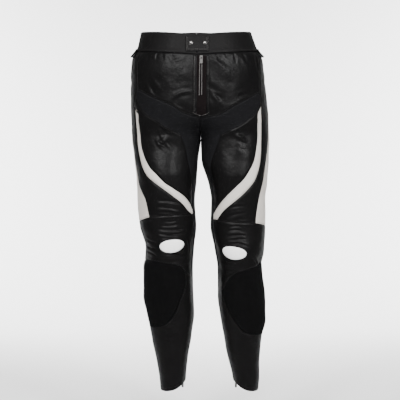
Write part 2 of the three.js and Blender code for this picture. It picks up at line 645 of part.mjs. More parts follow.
// Knee patches: plain ovals on the knee panels.
const patch = { width: 70, height: 35, thick: 1.8 };
const patchAt = {
  right: { across: 0.232, height: -577, tilt: 8 },
  left: { across: 0.21, height: -596, tilt: -9 },
};
sides.forEach((side) => {
  const { across, height, tilt } = patchAt[side.name];
  const ellipse = new THREE.EllipseCurve(0, 0, patch.width / 2, patch.height / 2, 0, 2 * Math.PI, false);
  const angle = THREE.MathUtils.degToRad(tilt);
  const outline = ellipse.getPoints(24).slice(0, -1);
  outline.forEach((point) => point.rotateAround(new THREE.Vector2(), angle));
  const centre = clothPoint(side, across, height, 0);
  const out = outward(side, across, height).setZ(0).normalize();
  const rows = levels.filter((level) => Math.abs(level - height) < 60);
  const columns = allColumns.filter((column) => Math.abs(column - across) < 0.19);
  const skin = layer(side, CLEAR, CLEAR + patch.thick, { rows, columns });
  const solid = skin.intersect(punch(new THREE.Shape(outline), centre, out));
  addPiece(`knee_patch_${side.name}`, toGeometry(solid), 'patch');
});

// ---- Hardware ----

// Places a mesh whose own axes are x sideways, y up and z outward.
function place(mesh, at, outwards, upwards) {
  const x = upwards.clone().cross(outwards).normalize();
  const y = outwards.clone().cross(x).normalize();
  mesh.setRotationFromMatrix(new THREE.Matrix4().makeBasis(x, y, outwards));
  mesh.position.copy(at);
}

// Domed snap: a flat rim and a dome, turned about its own axis.
const snap = { radius: 6.2, rim: 0.9, dome: 2.6, height: -16, lift: 0.9 };
const snapPlaces = { right: -22.5, left: 15.5 };
function snapGeometry() {
  const profile = new THREE.Path();
  profile.moveTo(0, 0);
  profile.lineTo(snap.radius, 0);
  profile.lineTo(snap.radius, snap.rim);
  profile.quadraticCurveTo(snap.radius * 0.7, snap.dome, 0, snap.dome);
  return new THREE.LatheGeometry(profile.getPoints(5), 16).rotateX(Math.PI / 2);
}

// The place on the front of the cloth that is this far sideways from the middle plane.
function frontAt(x, height, lift) {
  const centre = columnAt(bodySections, 'centre', height);
  const side = x < centre ? sides[0] : sides[1];
  let low = 0;
  let high = 0.25;
  for (let n = 0; n < 30; n += 1) {
    const middle = (low + high) / 2;
    if (Math.abs(clothPoint(side, middle, height, lift).x - centre) < Math.abs(x - centre)) low = middle;
    else high = middle;
  }
  return { at: clothPoint(side, low, height, lift), out: outward(side, Math.max(low, 0.01), height) };
}

Object.entries(snapPlaces).forEach(([name, x]) => {
  const seat = frontAt(x, snap.height, tabBase + tab.thick + snap.lift);
  place(addPiece(`snap_${name}`, snapGeometry(), 'metal'), seat.at, seat.out, UP);
});

// Zip slider: a body with an arched bridge over it. Seen from its side, x is outward and y is up.
const slider = { width: 8, body: 2.4, bridge: 2.4, arch: 3, rod: 1, legs: 1.4, sunk: 0.5, slope: 0.5 };
const ROD_OUT = slider.body + slider.arch / 2; // centre of the pull's rod above the slider's seat
function sliderSolid() {
  const half = SLIDER_LENGTH / 2;
  const body = new THREE.ExtrudeGeometry(rectangle(0, -half, slider.body, half), {
    depth: slider.width,
    bevelEnabled: false,
  });
  body.translate(0, 0, -slider.width / 2);
  const foot = slider.body - slider.sunk;
  const rise = slider.body + slider.arch;
  const top = rise + slider.legs;
  const ends = half - slider.slope;
  const opening = ends - slider.legs;
  const outline = new THREE.Shape([
    new THREE.Vector2(foot, -ends),
    new THREE.Vector2(top, -ends + 2 * slider.slope),
    new THREE.Vector2(top, ends - 2 * slider.slope),
    new THREE.Vector2(foot, ends),
  ]);
  outline.holes.push(
    new THREE.Path([
      new THREE.Vector2(slider.body + slider.sunk / 2, -opening),
      new THREE.Vector2(rise, -opening + slider.slope),
      new THREE.Vector2(rise, opening - slider.slope),
      new THREE.Vector2(slider.body + slider.sunk / 2, opening),
    ]),
  );
  const bridge = new THREE.ExtrudeGeometry(outline, { depth: slider.bridge, bevelEnabled: false });
  bridge.translate(0, 0, -slider.bridge / 2);
  const solids = [body, bridge].map((geometry) => {
    const bare = geometry.deleteAttribute('normal').deleteAttribute('uv');
    return toSolid(mergeVertices(bare, 1e-4));
  });
  // From (outward, up, sideways) to (sideways, up, outward).
  return toGeometry(solids[0].add(solids[1])).rotateY(-Math.PI / 2);
}

// Pull tab: a flat plate with a window, hung by the rod above the window. Its origin is the rod's axis.
const pull = { width: 7.4, window: 3.8, windowLength: 5.6, thick: 1.2, round: 2 };
function pullGeometry(length) {
  const half = pull.width / 2;
  const outline = new THREE.Shape();
  outline.moveTo(-half, slider.rod / 2);
  outline.lineTo(-half, -length + pull.round);
  outline.quadraticCurveTo(-half, -length, -half + pull.round, -length);
  outline.lineTo(half - pull.round, -length);
  outline.quadraticCurveTo(half, -length, half, -length + pull.round);
  outline.lineTo(half, slider.rod / 2);
  const edge = pull.window / 2;
  outline.holes.push(
    new THREE.Path([
      new THREE.Vector2(-edge, -slider.rod / 2),
      new THREE.Vector2(-edge, -pull.windowLength),
      new THREE.Vector2(edge, -pull.windowLength),
      new THREE.Vector2(edge, -slider.rod / 2),
    ]),
  );
  const options = { depth: pull.thick, bevelEnabled: false, curveSegments: 4 };
  return new THREE.ExtrudeGeometry(outline, options).translate(0, 0, -pull.thick / 2);
}

// A slider on its seat, and its pull tab hanging from the rod under the bridge.
function addZipHead(name, seat, hang, length) {
  place(addPiece(name.replace('zip', 'slider'), sliderSolid(), 'metal'), seat.at, seat.out, UP);
  const rodAt = seat.at.clone().addScaledVector(seat.out, ROD_OUT);
  place(addPiece(name.replace('zip', 'pull'), pullGeometry(length), 'metal'), rodAt, hang, UP);
}

const FLY_PULL = 19;
const sliderLift = CLEAR + 0.2;
const flySeat = frontAt(fly.centre, fly.top - SLIDER_LENGTH / 2 - 0.5, tapeTop + sliderLift);
addZipHead('fly_zip', flySeat, flySeat.out, FLY_PULL);

const CALF_PULL = 24;
const CALF_SLIDER_UP = 9; // above the hem
sides.forEach((side) => {
  const height = levelHeight(HEM, calfTape.across) + CALF_SLIDER_UP;
  const out = outward(side, calfTape.across, height);
  const at = clothPoint(side, calfTape.across, height, CLEAR + calfTape.thick + sliderLift);
  addZipHead(`calf_zip_${side.name}`, { at, out }, out.clone().setZ(0).normalize(), CALF_PULL);
});

export default garment;
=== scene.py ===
# %% [markdown]
# # Leather motorcycle trousers
#
# The real garment is a hollow shell of cowhide panels, sewn edge to edge, with stretch knit where the
# body bends, padded hook panels over the shins and pale stripes down the thighs. It is shown worn, so
# the shell keeps the shape of hips and bent knees. Here each panel is its own thin sheet. All the
# sheets are cut from one smooth form, so they meet along their seams, and creases, rolled edges and
# stitches are then added to that form.

import math

import bpy
import numpy as np
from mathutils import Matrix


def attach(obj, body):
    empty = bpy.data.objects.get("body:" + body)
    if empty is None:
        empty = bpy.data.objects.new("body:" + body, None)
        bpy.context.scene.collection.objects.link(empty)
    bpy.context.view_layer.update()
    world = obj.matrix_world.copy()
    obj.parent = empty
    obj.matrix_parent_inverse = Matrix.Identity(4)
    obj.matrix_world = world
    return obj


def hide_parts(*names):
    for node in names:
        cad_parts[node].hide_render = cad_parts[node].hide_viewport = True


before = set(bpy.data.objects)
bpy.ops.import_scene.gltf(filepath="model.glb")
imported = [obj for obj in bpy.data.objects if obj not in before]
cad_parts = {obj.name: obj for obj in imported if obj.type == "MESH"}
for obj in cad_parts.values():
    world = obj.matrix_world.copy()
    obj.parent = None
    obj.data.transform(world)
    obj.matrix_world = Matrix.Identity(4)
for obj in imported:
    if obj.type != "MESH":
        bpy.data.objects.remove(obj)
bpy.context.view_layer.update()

# %% [markdown]
# ## The camera
#
# A garment on a stand is looked at from straight ahead, level with its middle. The camera stands 3.2 m
# in front, far enough that the legs keep their proportions, and its field of view just holds the
# trousers from waist to hem.

# %% Camera
VIEW_HEIGHT = 1.144  # metres seen at the distance of the trousers
camera_data = bpy.data.cameras.new("camera")
camera = bpy.data.objects.new("camera", camera_data)
camera.location = (0.002, -3.2, -0.449)
camera.rotation_euler = (math.radians(90), 0, 0)
camera_data.angle = 2 * math.atan(VIEW_HEIGHT / 2 / 3.2)
camera_data.clip_end = 50
bpy.context.scene.collection.objects.link(camera)
bpy.context.scene.camera = camera
print("field of view", round(math.degrees(camera_data.angle), 2))

# %% [markdown]
# ## The form of the worn garment
#
# A tailor would measure the body at a row of heights. The tables below do the same: each row is one
# section, with its width and depth in millimetres. Between the rows every column follows a monotone
# cubic, which is smooth but never bulges past the numbers. A section of the hips is a flattened ring,
# a section of a leg is a smaller ring, and above the crotch the two rings blend into each other.

# %% Section tables
SIDES = {"right": -1, "left": 1}  # the wearer's sides; the right leg lies on -X
WALL = 2.0
BAND_PROUD = 1.2
BAND_WIDTH = 56.0
WAIST_FRONT = -19.0
WAIST_RISE = 36.0
SLIDER_PROUD = 3.0
CROTCH = -272.0
RISE_ROUNDING = 90.0
LEG_ROUNDING = 110.0
HEM = -990.0
HEM_CUT = 26.0
BODY_POWER = 2.25
LEG_POWER = 2.1
METRES = 0.001

# height, centre, half width, front, back
BODY = np.array([
    [30, -9, 155, -103, 99],
    [-26, -6, 173, -110, 106],
    [-50, -6, 186, -116, 114],
    [-106, -4, 191, -122, 128],
    [-174, -1, 195, -122, 136],
    [-230, 2, 196, -116, 132],
    [-272, 4, 196, -104, 114],
    [-335, 7, 191, -102, 96],
    [-400, 8, 186, -101, 84],
], dtype=float)

# height, inner, outer, front, back; inner and outer are distances from the middle plane
LEGS = {
    "right": np.array([
        [-230, -2, 194, -116, 132],
        [-272, -4, 192, -104, 114],
        [-335, 4, 184, -102, 96],
        [-400, 8, 178, -101, 84],
        [-450, 13, 177, -99, 76],
        [-520, 9, 170, -96, 66],
        [-586, 15, 152, -97, 54],
        [-640, 18, 158, -88, 55],
        [-724, 17, 159, -68, 74],
        [-769, 15, 150, -60, 76],
        [-827, 21, 138, -52, 66],
        [-895, 32, 124, -45, 52],
        [-950, 38, 115, -43, 46],
        [-1010, 42, 109, -45, 44],
    ], dtype=float),
    "left": np.array([
        [-230, 2, 198, -116, 132],
        [-272, 4, 200, -104, 114],
        [-335, 7, 198, -102, 96],
        [-400, 26, 194, -101, 84],
        [-450, 34, 188, -99, 76],
        [-520, 32, 188, -96, 66],
        [-586, 44, 184, -97, 54],
        [-640, 52, 179, -90, 55],
        [-724, 53, 188, -70, 74],
        [-792, 62, 190, -58, 74],
        [-838, 71, 179, -51, 64],
        [-895, 81, 173, -45, 52],
        [-950, 94, 171, -43, 46],
        [-1010, 104, 167, -45, 44],
    ], dtype=float),
}
print(len(BODY), "body sections and", len(LEGS["left"]), "leg sections a side")


# %% Monotone cubic through a table
def section_at(table, height):
    """The table's columns at the given heights. Each column is a cubic whose slope at a row is the
    weighted harmonic mean of the slopes on both sides, or zero where the column turns round there."""
    rows = table[::-1]
    at, values = rows[:, 0], rows[:, 1:]
    run = np.diff(at)
    slope = np.diff(values, axis=0) / run[:, None]
    first = (2 * run[1:] + run[:-1])[:, None]
    second = (run[1:] + 2 * run[:-1])[:, None]
    turns = slope[:-1] * slope[1:] <= 0
    safe_before = np.where(turns, 1, slope[:-1])
    safe_after = np.where(turns, 1, slope[1:])
    inner = np.where(turns, 0, (first + second) / (first / safe_before + second / safe_after))
    tangent = np.concatenate([slope[:1], inner, slope[-1:]])
    height = np.clip(height, at[0], at[-1])
    k = np.clip(np.searchsorted(at, height, side="right") - 1, 0, len(run) - 1)
    t = ((height - at[k]) / run[k])[..., None]
    h = run[k][..., None]
    start = (1 + 2 * t) * (1 - t) ** 2 * values[k] + t * (1 - t) ** 2 * h * tangent[k]
    end = t * t * (3 - 2 * t) * values[k + 1] + t * t * (t - 1) * h * tangent[k + 1]
    return np.moveaxis(start + end, -1, 0)


print("waist section", section_at(BODY, np.array([-26.0]))[:, 0])


# %% The smooth form
def smoothstep(value, low, high):
    """0 below low, 1 above high, and an S-shaped cubic between them."""
    t = np.clip((value - low) / (high - low), 0, 1)
    return t * t * (3 - 2 * t)


def signed_power(value, exponent):
    """The value's size to a power, with its sign kept."""
    return np.sign(value) * np.abs(value) ** exponent


def form(side, across, height):
    """The smooth form, in millimetres. Across runs from 0 at the front centre or inseam, round the
    outside at 0.5, to 1 at the back. A leg section is a superellipse: x goes with the cosine and y
    with the sine of a full turn, each to the power 2 / 2.1. A body section is half of a wider one. Above
    the crotch the first opens into the second, sharply at the inseam and softly round the thigh."""
    sign = SIDES[side]
    across, height = np.broadcast_arrays(np.asarray(across, float), np.asarray(height, float))
    centre, half, body_front, body_back = section_at(BODY, height)
    inner, outer, front, back = section_at(LEGS[side], np.minimum(height, CROTCH))
    above = height > CROTCH
    inner, outer = np.where(above, 0, inner), np.where(above, half, outer)
    front, back = np.where(above, body_front, front), np.where(above, body_back, back)
    turn = 2 * np.pi * across
    round_x = (outer + inner - (outer - inner) * signed_power(np.cos(turn), 2 / LEG_POWER)) / 2
    leg_x = np.where(above, centre, 0) + sign * round_x
    leg_y = (front + back - (back - front) * signed_power(np.sin(turn), 2 / LEG_POWER)) / 2
    body_x = centre + sign * half * signed_power(np.sin(turn / 2), 2 / BODY_POWER)
    deep = (body_back - body_front) * signed_power(np.cos(turn / 2), 2 / BODY_POWER)
    body_y = (body_front + body_back - deep) / 2
    soft = smoothstep(np.minimum(across, 1 - across), 0, 0.12)
    left = np.clip((CROTCH + RISE_ROUNDING - height) / (RISE_ROUNDING + LEG_ROUNDING * soft), 0, 1)
    open_share = (1 - left * left) ** (0.5 + soft)
    x = leg_x + (body_x - leg_x) * open_share
    y = leg_y + (body_y - leg_y) * open_share
    return np.stack([x, y, height], axis=-1)


def unit(vectors):
    """Each vector divided by its length."""
    length = np.linalg.norm(vectors, axis=-1, keepdims=True)
    return vectors / np.maximum(length, 1e-9)


def outward(side, across, height):
    """The form's outward normal: the cross product of a small step up and a small step across."""
    step = 0.004
    a = np.clip(across, step, 1 - step)
    along = form(side, a + step, height) - form(side, a - step, height)
    rise = form(side, a, height + 3) - form(side, a, height - 3)
    return -SIDES[side] * unit(np.cross(rise, along))


def waist_line(across):
    """Height of the middle of the waistband: low in front, high at the back."""
    return WAIST_FRONT + WAIST_RISE * np.clip(across, 0, 1) ** 0.82


def hem_line(across):
    """Height of the hem, which is cut higher on the inner side of the leg."""
    return HEM + HEM_CUT * ((1 + np.cos(2 * np.pi * np.asarray(across, float))) / 2) ** 3


def girth(side, height):
    """Length round one half at a height, which turns a share across into millimetres."""
    inner, outer, front, back = section_at(LEGS[side], np.minimum(height, CROTCH))
    round_leg = np.pi * (outer - inner + back - front) / 2
    return np.where(height > CROTCH + RISE_ROUNDING / 2, np.minimum(round_leg, 510), round_leg)


for side in SIDES:
    thigh, calf = girth(side, np.array(-330.0)), girth(side, np.array(-770.0))
    print(side, "thigh", round(float(thigh)), "mm round, calf", round(float(calf)))

# %% [markdown]
# ## Folds and creases
#
# Worn leather shows two kinds of relief. Over the hips, knees and thighs it swells and sinks in broad
# soft folds. Where the body bends it breaks into narrow creases, whose sharp troughs and round ridges
# catch the light. Both are written as short tables, one row for each, so that no two are alike. A
# little even noise would look like crumpled paper, so it stays very shallow.

# %% Broad folds
# side, across, height, half length along it, half width, lift, tilt in degrees
FOLDS = [
    ("left", 0.1, -85, 50, 15, 1.8, 39),
    ("left", 0.06, -128, 38, 13, 1.4, 40),
    ("left", 0.25, -90, 30, 13, 1.2, 50),
    ("right", 0.07, -158, 40, 14, 1.0, 18),
    ("right", 0.25, -300, 55, 18, 1.6, 35),
    ("right", 0.172, -243, 22, 6, 4.4, -30),
    ("right", 0.205, -284, 26, 7.5, 4.2, 26),
    ("left", 0.19, -247, 24, 6, 4.6, -24),
    ("left", 0.2, -272, 28, 7.5, 4.6, 24),
    ("right", 0.22, -606, 30, 4.5, 2.8, 2),
    ("right", 0.2, -628, 26, 4.5, 2.2, 4),
    ("left", 0.18, -627, 24, 4.5, 2.6, -3),
    ("left", 0.21, -649, 30, 4.5, 2.6, -8),
    ("left", 0.23, -310, 55, 18, 3, 30),
    ("right", 0.235, -578, 46, 30, 5, 6),
    ("left", 0.21, -596, 46, 30, 5, -6),
    ("right", 0.42, -612, 40, 14, -4, 8),
    ("left", 0.42, -620, 40, 14, -4, 12),
    ("right", 0.76, -584, 60, 15, -5, 3),
    ("left", 0.76, -590, 60, 15, -5, -3),
    ("right", 0.74, -545, 55, 15, 3.5, -4),
    ("left", 0.74, -548, 55, 15, 3.5, 5),
    ("right", 0.78, -318, 60, 18, -4, 4),
    ("left", 0.78, -322, 60, 18, -4, 5),
]


def fold_lift(side, across, height):
    """Sum of the folds: each is a bell over the distance along it and the distance across it."""
    total = np.zeros(np.broadcast(across, height).shape)
    for name, at, level, length, width, lift, tilt in FOLDS:
        if name != side:
            continue
        x = (across - at) * girth(side, np.array(float(level)))
        z = height - level
        c, s = math.cos(math.radians(tilt)), math.sin(math.radians(tilt))
        total = total + lift * np.exp(-((x * c - z * s) / length) ** 2 - ((x * s + z * c) / width) ** 2)
    return total


print(len(FOLDS), "broad folds")

# %% Creases
# side, start across, start height, end across, end height, bow, half width, depth
CREASES = [
    # above the right knee
    ("right", 0.295, -452, 0.165, -461, -4, 3.2, 2.2),
    ("right", 0.300, -469, 0.170, -479, -3, 2.6, 2.0),
    ("right", 0.292, -482, 0.175, -491, -2, 2.3, 1.5),
    # above the left knee
    ("left", 0.185, -474, 0.285, -466, 3, 2.6, 1.8),
    ("left", 0.190, -497, 0.285, -485, 3, 2.4, 2.0),
    ("left", 0.205, -509, 0.300, -500, 2, 2.2, 1.5),
    # right knee
    ("right", 0.300, -530, 0.145, -529, 3, 2.6, 2.0),
    ("right", 0.305, -543, 0.140, -540, 4, 2.4, 2.2),
    ("right", 0.330, -574, 0.118, -574, 22, 2.4, 2.2),
    ("right", 0.135, -556, 0.108, -600, -6, 2.4, 2.0),
    ("right", 0.430, -558, 0.335, -566, 2, 2.9, 2.5),
    ("right", 0.440, -577, 0.340, -584, 2, 2.9, 2.5),
    ("right", 0.430, -594, 0.330, -606, -3, 3.0, 2.2),
    ("right", 0.275, -603, 0.165, -605, -5, 2.6, 2.0),
    ("right", 0.255, -629, 0.140, -632, -3, 2.6, 1.5),
    # left knee
    ("left", 0.170, -552, 0.285, -548, 3, 2.6, 2.1),
    ("left", 0.195, -563, 0.285, -558, 3, 2.3, 1.8),
    ("left", 0.125, -587, 0.300, -580, 14, 2.4, 2.2),
    ("left", 0.140, -621, 0.240, -623, -5, 2.6, 2.0),
    ("left", 0.145, -657, 0.275, -637, -4, 2.9, 2.2),
    ("left", 0.335, -612, 0.410, -650, 6, 2.9, 2.5),
    # round the foot of the fly
    ("right", 0.107, -173, 0.019, -152, -9, 4.6, -2.2),
    ("right", 0.104, -186, 0.052, -202, 3, 3.8, -2.1),
    ("right", 0.118, -178, 0.066, -212, 9, 4.6, 1.3),
    ("left", 0.036, -150, 0.070, -202, 7, 3.8, -2.1),
    ("left", 0.050, -162, 0.090, -190, 4, 4.0, -1.5),
    ("left", 0.028, -138, 0.095, -158, -5, 4.4, -1.2),
    ("left", 0.040, -58, 0.118, -92, 5, 6.0, -1.4),
    ("left", 0.029, -105, 0.033, -148, 2, 3.4, 1.4),
    ("left", 0.196, -50, 0.258, -100, 6, 6.0, -1.3),
    ("right", 0.040, -60, 0.110, -70, 3, 6.0, -1.0),
    ("right", 0.225, -95, 0.150, -150, 6, 8.0, -1.2),
    ("right", 0.238, -120, 0.190, -160, 3, 4.0, 1.2),
    ("left", 0.176, -165, 0.228, -158, 4, 4.0, 1.4),
    # under the seam at the top of the thighs
    ("right", 0.196, -232, 0.135, -262, 7, 4.6, -1.4),
    ("right", 0.208, -250, 0.182, -312, 6, 4.4, -1.2),
    ("right", 0.245, -276, 0.214, -318, 4, 4.2, -1.0),
    ("left", 0.148, -263, 0.235, -236, -5, 4.6, -1.4),
    ("left", 0.155, -268, 0.260, -294, 6, 4.4, -1.2),
    ("left", 0.190, -290, 0.280, -310, 4, 4.2, -1.0),
    # shins
    ("right", 0.302, -797, 0.196, -788, 8, 3.2, -2.0),
    ("right", 0.266, -825, 0.202, -807, 4, 3.2, -2.0),
    ("right", 0.300, -833, 0.216, -836, 2, 3.0, -1.8),
    ("right", 0.300, -905, 0.180, -915, -6, 5.0, -0.6),
    ("left", 0.235, -836, 0.320, -831, 2, 3.0, -1.9),
    ("left", 0.240, -847, 0.345, -843, 2, 3.0, -1.9),
    ("left", 0.250, -857, 0.358, -852, 2, 3.0, -1.8),
    ("left", 0.200, -900, 0.310, -912, 5, 5.0, -0.6),
    # backs of the knees
    ("right", 0.640, -548, 0.860, -556, 8, 5.0, 2.4),
    ("right", 0.660, -574, 0.880, -572, -6, 5.2, 2.6),
    ("right", 0.640, -602, 0.850, -610, 5, 5.0, 2.4),
    ("right", 0.600, -528, 0.760, -520, 6, 4.6, 1.8),
    ("right", 0.620, -640, 0.800, -632, -5, 4.8, 1.8),
    ("left", 0.650, -545, 0.870, -540, -6, 5.0, 2.3),
    ("left", 0.630, -570, 0.860, -578, 7, 5.2, 2.6),
    ("left", 0.660, -598, 0.870, -600, -4, 5.0, 2.4),
    ("left", 0.600, -625, 0.780, -634, 5, 4.8, 1.9),
    ("left", 0.640, -515, 0.800, -508, 5, 4.6, 1.7),
    # under the seat, and across it
    ("right", 0.640, -292, 0.860, -305, 8, 6.0, 2.2),
    ("right", 0.700, -322, 0.880, -330, -5, 5.6, 1.8),
    ("left", 0.650, -296, 0.870, -300, 7, 6.0, 2.2),
    ("left", 0.690, -326, 0.860, -338, -6, 5.6, 1.8),
    ("right", 0.760, -120, 0.930, -170, 8, 8.0, 1.4),
    ("left", 0.780, -112, 0.920, -165, 9, 8.0, 1.4),
    ("right", 0.580, -60, 0.700, -95, 6, 7.0, 1.2),
    ("left", 0.590, -62, 0.720, -90, 5, 7.0, 1.2),
    # outside of the hips and thighs
    ("right", 0.420, -110, 0.560, -135, 7, 7.0, 1.3),
    ("left", 0.430, -105, 0.550, -140, 6, 7.0, 1.3),
    ("right", 0.560, -400, 0.720, -420, 6, 6.0, 1.4),
    ("left", 0.570, -395, 0.710, -425, 7, 6.0, 1.4),
    # calves
    ("right", 0.620, -742, 0.800, -752, 6, 5.0, 1.4),
    ("left", 0.630, -748, 0.790, -741, -5, 5.0, 1.4),
    ("right", 0.600, -868, 0.780, -880, 5, 4.6, 1.4),
    ("left", 0.610, -875, 0.770, -866, -5, 4.6, 1.4),
    ("right", 0.560, -930, 0.700, -940, 4, 4.4, 1.3),
    ("left", 0.570, -934, 0.710, -926, -4, 4.4, 1.3),
    # below the ovals
    ("right", 0.262, -600, 0.170, -606, -4, 2.6, 2.1),
    ("right", 0.242, -622, 0.150, -628, -3, 2.4, 1.8),
    ("left", 0.150, -623, 0.205, -621, -2, 2.4, 2.1),
    ("left", 0.150, -652, 0.250, -640, -3, 2.6, 2.0),
    # above the ovals
    ("right", 0.278, -520, 0.190, -517, 2, 2.2, 1.6),
    ("right", 0.262, -508, 0.200, -506, 2, 2.2, 1.4),
    ("left", 0.190, -536, 0.262, -533, 2, 2.2, 1.6),
    ("left", 0.205, -524, 0.255, -521, 1, 2.0, 1.4),
    # fine puckers under the thigh seam
    ("right", 0.186, -240, 0.165, -250, 2, 2.4, -1.2),
    ("right", 0.176, -246, 0.148, -254, 2, 2.4, -1.1),
    ("right", 0.232, -284, 0.206, -292, 2, 2.6, -1.2),
    ("right", 0.236, -296, 0.212, -304, -2, 2.4, -1.1),
    ("left", 0.166, -256, 0.190, -246, -2, 2.4, -1.2),
    ("left", 0.192, -262, 0.224, -250, 2, 2.4, -1.1),
    ("left", 0.214, -284, 0.250, -291, 2, 2.6, -1.2),
    ("left", 0.226, -300, 0.262, -304, -2, 2.4, -1.1),
    # gathers under the waistband
    ("right", 0.186, -36, 0.190, -62, 2, 3.0, 1.2),
    ("right", 0.150, -36, 0.140, -66, -2, 3.2, -1.2),
    ("right", 0.118, -38, 0.090, -62, 2, 3.0, 1.2),
    ("right", 0.236, -34, 0.250, -70, 3, 3.4, 1.1),
    ("left", 0.062, -40, 0.078, -66, 2, 3.0, -1.2),
    ("left", 0.120, -36, 0.140, -58, -2, 3.2, 1.2),
    ("left", 0.166, -34, 0.176, -72, 2, 3.0, 1.2),
    ("left", 0.224, -34, 0.240, -76, 3, 3.4, 1.1),
    ("right", 0.330, -40, 0.350, -90, 4, 5.0, 1.2),
    ("left", 0.340, -42, 0.352, -88, -4, 5.0, 1.2),
]


def crease_lift(side, across, height):
    """Sum of the creases. Each follows a bowed line from its start to its end. Its trough is a bell
    over the distance from that line, and a lower, wider bell beside it is the ridge it pushes up. It
    fades towards both ends with the sine of the share of the way along."""
    across, height = np.broadcast_arrays(np.asarray(across, float), np.asarray(height, float))
    total = np.zeros(across.shape)
    share = np.linspace(0, 1, 15)
    for name, a0, z0, a1, z1, bow, width, depth in CREASES:
        if name != side:
            continue
        scale = float(girth(side, np.array((z0 + z1) / 2.0)))
        x0, x1 = a0 * scale, a1 * scale
        reach = np.hypot(x1 - x0, z1 - z0)
        nx, nz = -(z1 - z0) / reach, (x1 - x0) / reach
        swing = 4 * bow * share * (1 - share)
        line_x = x0 + (x1 - x0) * share + nx * swing
        line_z = z0 + (z1 - z0) * share + nz * swing
        pad = 4 * width
        near = (np.abs(across * scale - (line_x.min() + line_x.max()) / 2) < np.ptp(line_x) / 2 + pad) & (
            np.abs(height - (line_z.min() + line_z.max()) / 2) < np.ptp(line_z) / 2 + pad)
        if not near.any():
            continue
        px, pz = across[near][:, None] * scale, height[near][:, None]
        dx, dz = np.diff(line_x), np.diff(line_z)
        t = np.clip(((px - line_x[:-1]) * dx + (pz - line_z[:-1]) * dz) / (dx * dx + dz * dz), 0, 1)
        gap_x, gap_z = px - line_x[:-1] - t * dx, pz - line_z[:-1] - t * dz
        distance = np.hypot(gap_x, gap_z)
        best = distance.argmin(axis=1)
        rows = np.arange(len(best))
        away = distance[rows, best]
        beyond = np.sign(gap_x[rows, best] * nx + gap_z[rows, best] * nz)
        along = (best + t[rows, best]) / (len(share) - 1)
        fade = np.sin(np.pi * np.clip(along, 0, 1)) ** 0.7
        trough = -np.exp(-(away / width) ** 1.5)
        ridge = 0.5 * np.exp(-((away - 2 * width) / (1.3 * width)) ** 2) * (0.7 + 0.3 * beyond)
        total[near] += depth * fade * (trough + ridge)
    return total


print(len(CREASES), "creases")

# %% Shallow unevenness
random = np.random.default_rng(7)
WAVES = []
for wavelength, amplitude, count in ((150, 0.55, 9), (62, 0.24, 14), (27, 0.12, 20), (13, 0.05, 24)):
    direction = unit(random.normal(size=(count, 3)))
    frequency = 2 * np.pi / (wavelength * random.uniform(0.75, 1.35, count))
    phase = random.uniform(0, 2 * np.pi, count)
    WAVES.append((direction * frequency[:, None], phase, amplitude * np.sqrt(2 / count)))


def uneven_lift(points):
    """Sum of plane waves of three lengths, in random directions through space."""
    return sum(size * np.sin(points @ wave.T + phase).sum(axis=-1) for wave, phase, size in WAVES)


def pressed_together(side, points):
    """How far the inner walls move sideways above the crotch, where the two halves press on each other:
    a wall near the middle plane goes to it, and one further off moves less, by a bell of its distance."""
    gap = SIDES[side] * (points[..., 0] - section_at(BODY, points[..., 2])[0])
    near = smoothstep(points[..., 2], CROTCH - 16, CROTCH + 6) * np.exp(-(gap / 5) ** 2)
    return SIDES[side] * (0.1 - gap) * near


def sheet_points(side, across, height, lift=0.0, crease=1.0):
    """A point of the worn sheet: the form, moved along its normal by folds, creases and lift."""
    points = form(side, across, height)
    relief = fold_lift(side, across, height)
    if crease:
        relief = relief + crease * (crease_lift(side, across, height) + uneven_lift(points))
    normal = outward(side, across, height)
    worn = points + normal * relief[..., None]
    result = worn + normal * np.broadcast_to(lift, relief.shape)[..., None]
    result[..., 0] += pressed_together(side, worn)
    return result


print("noise at the knee", np.round(uneven_lift(form("left", 0.25, -600.0)), 2))

# %% [markdown]
# ## Seam lines
#
# A pattern cutter draws the seams on the worn form first and reads the panels off it. A place on the
# sheet is (share across, height). Each seam is a smooth line through a few such places, and neighbours
# share the line, so they always meet. Corners are where two lines come nearest to each other.

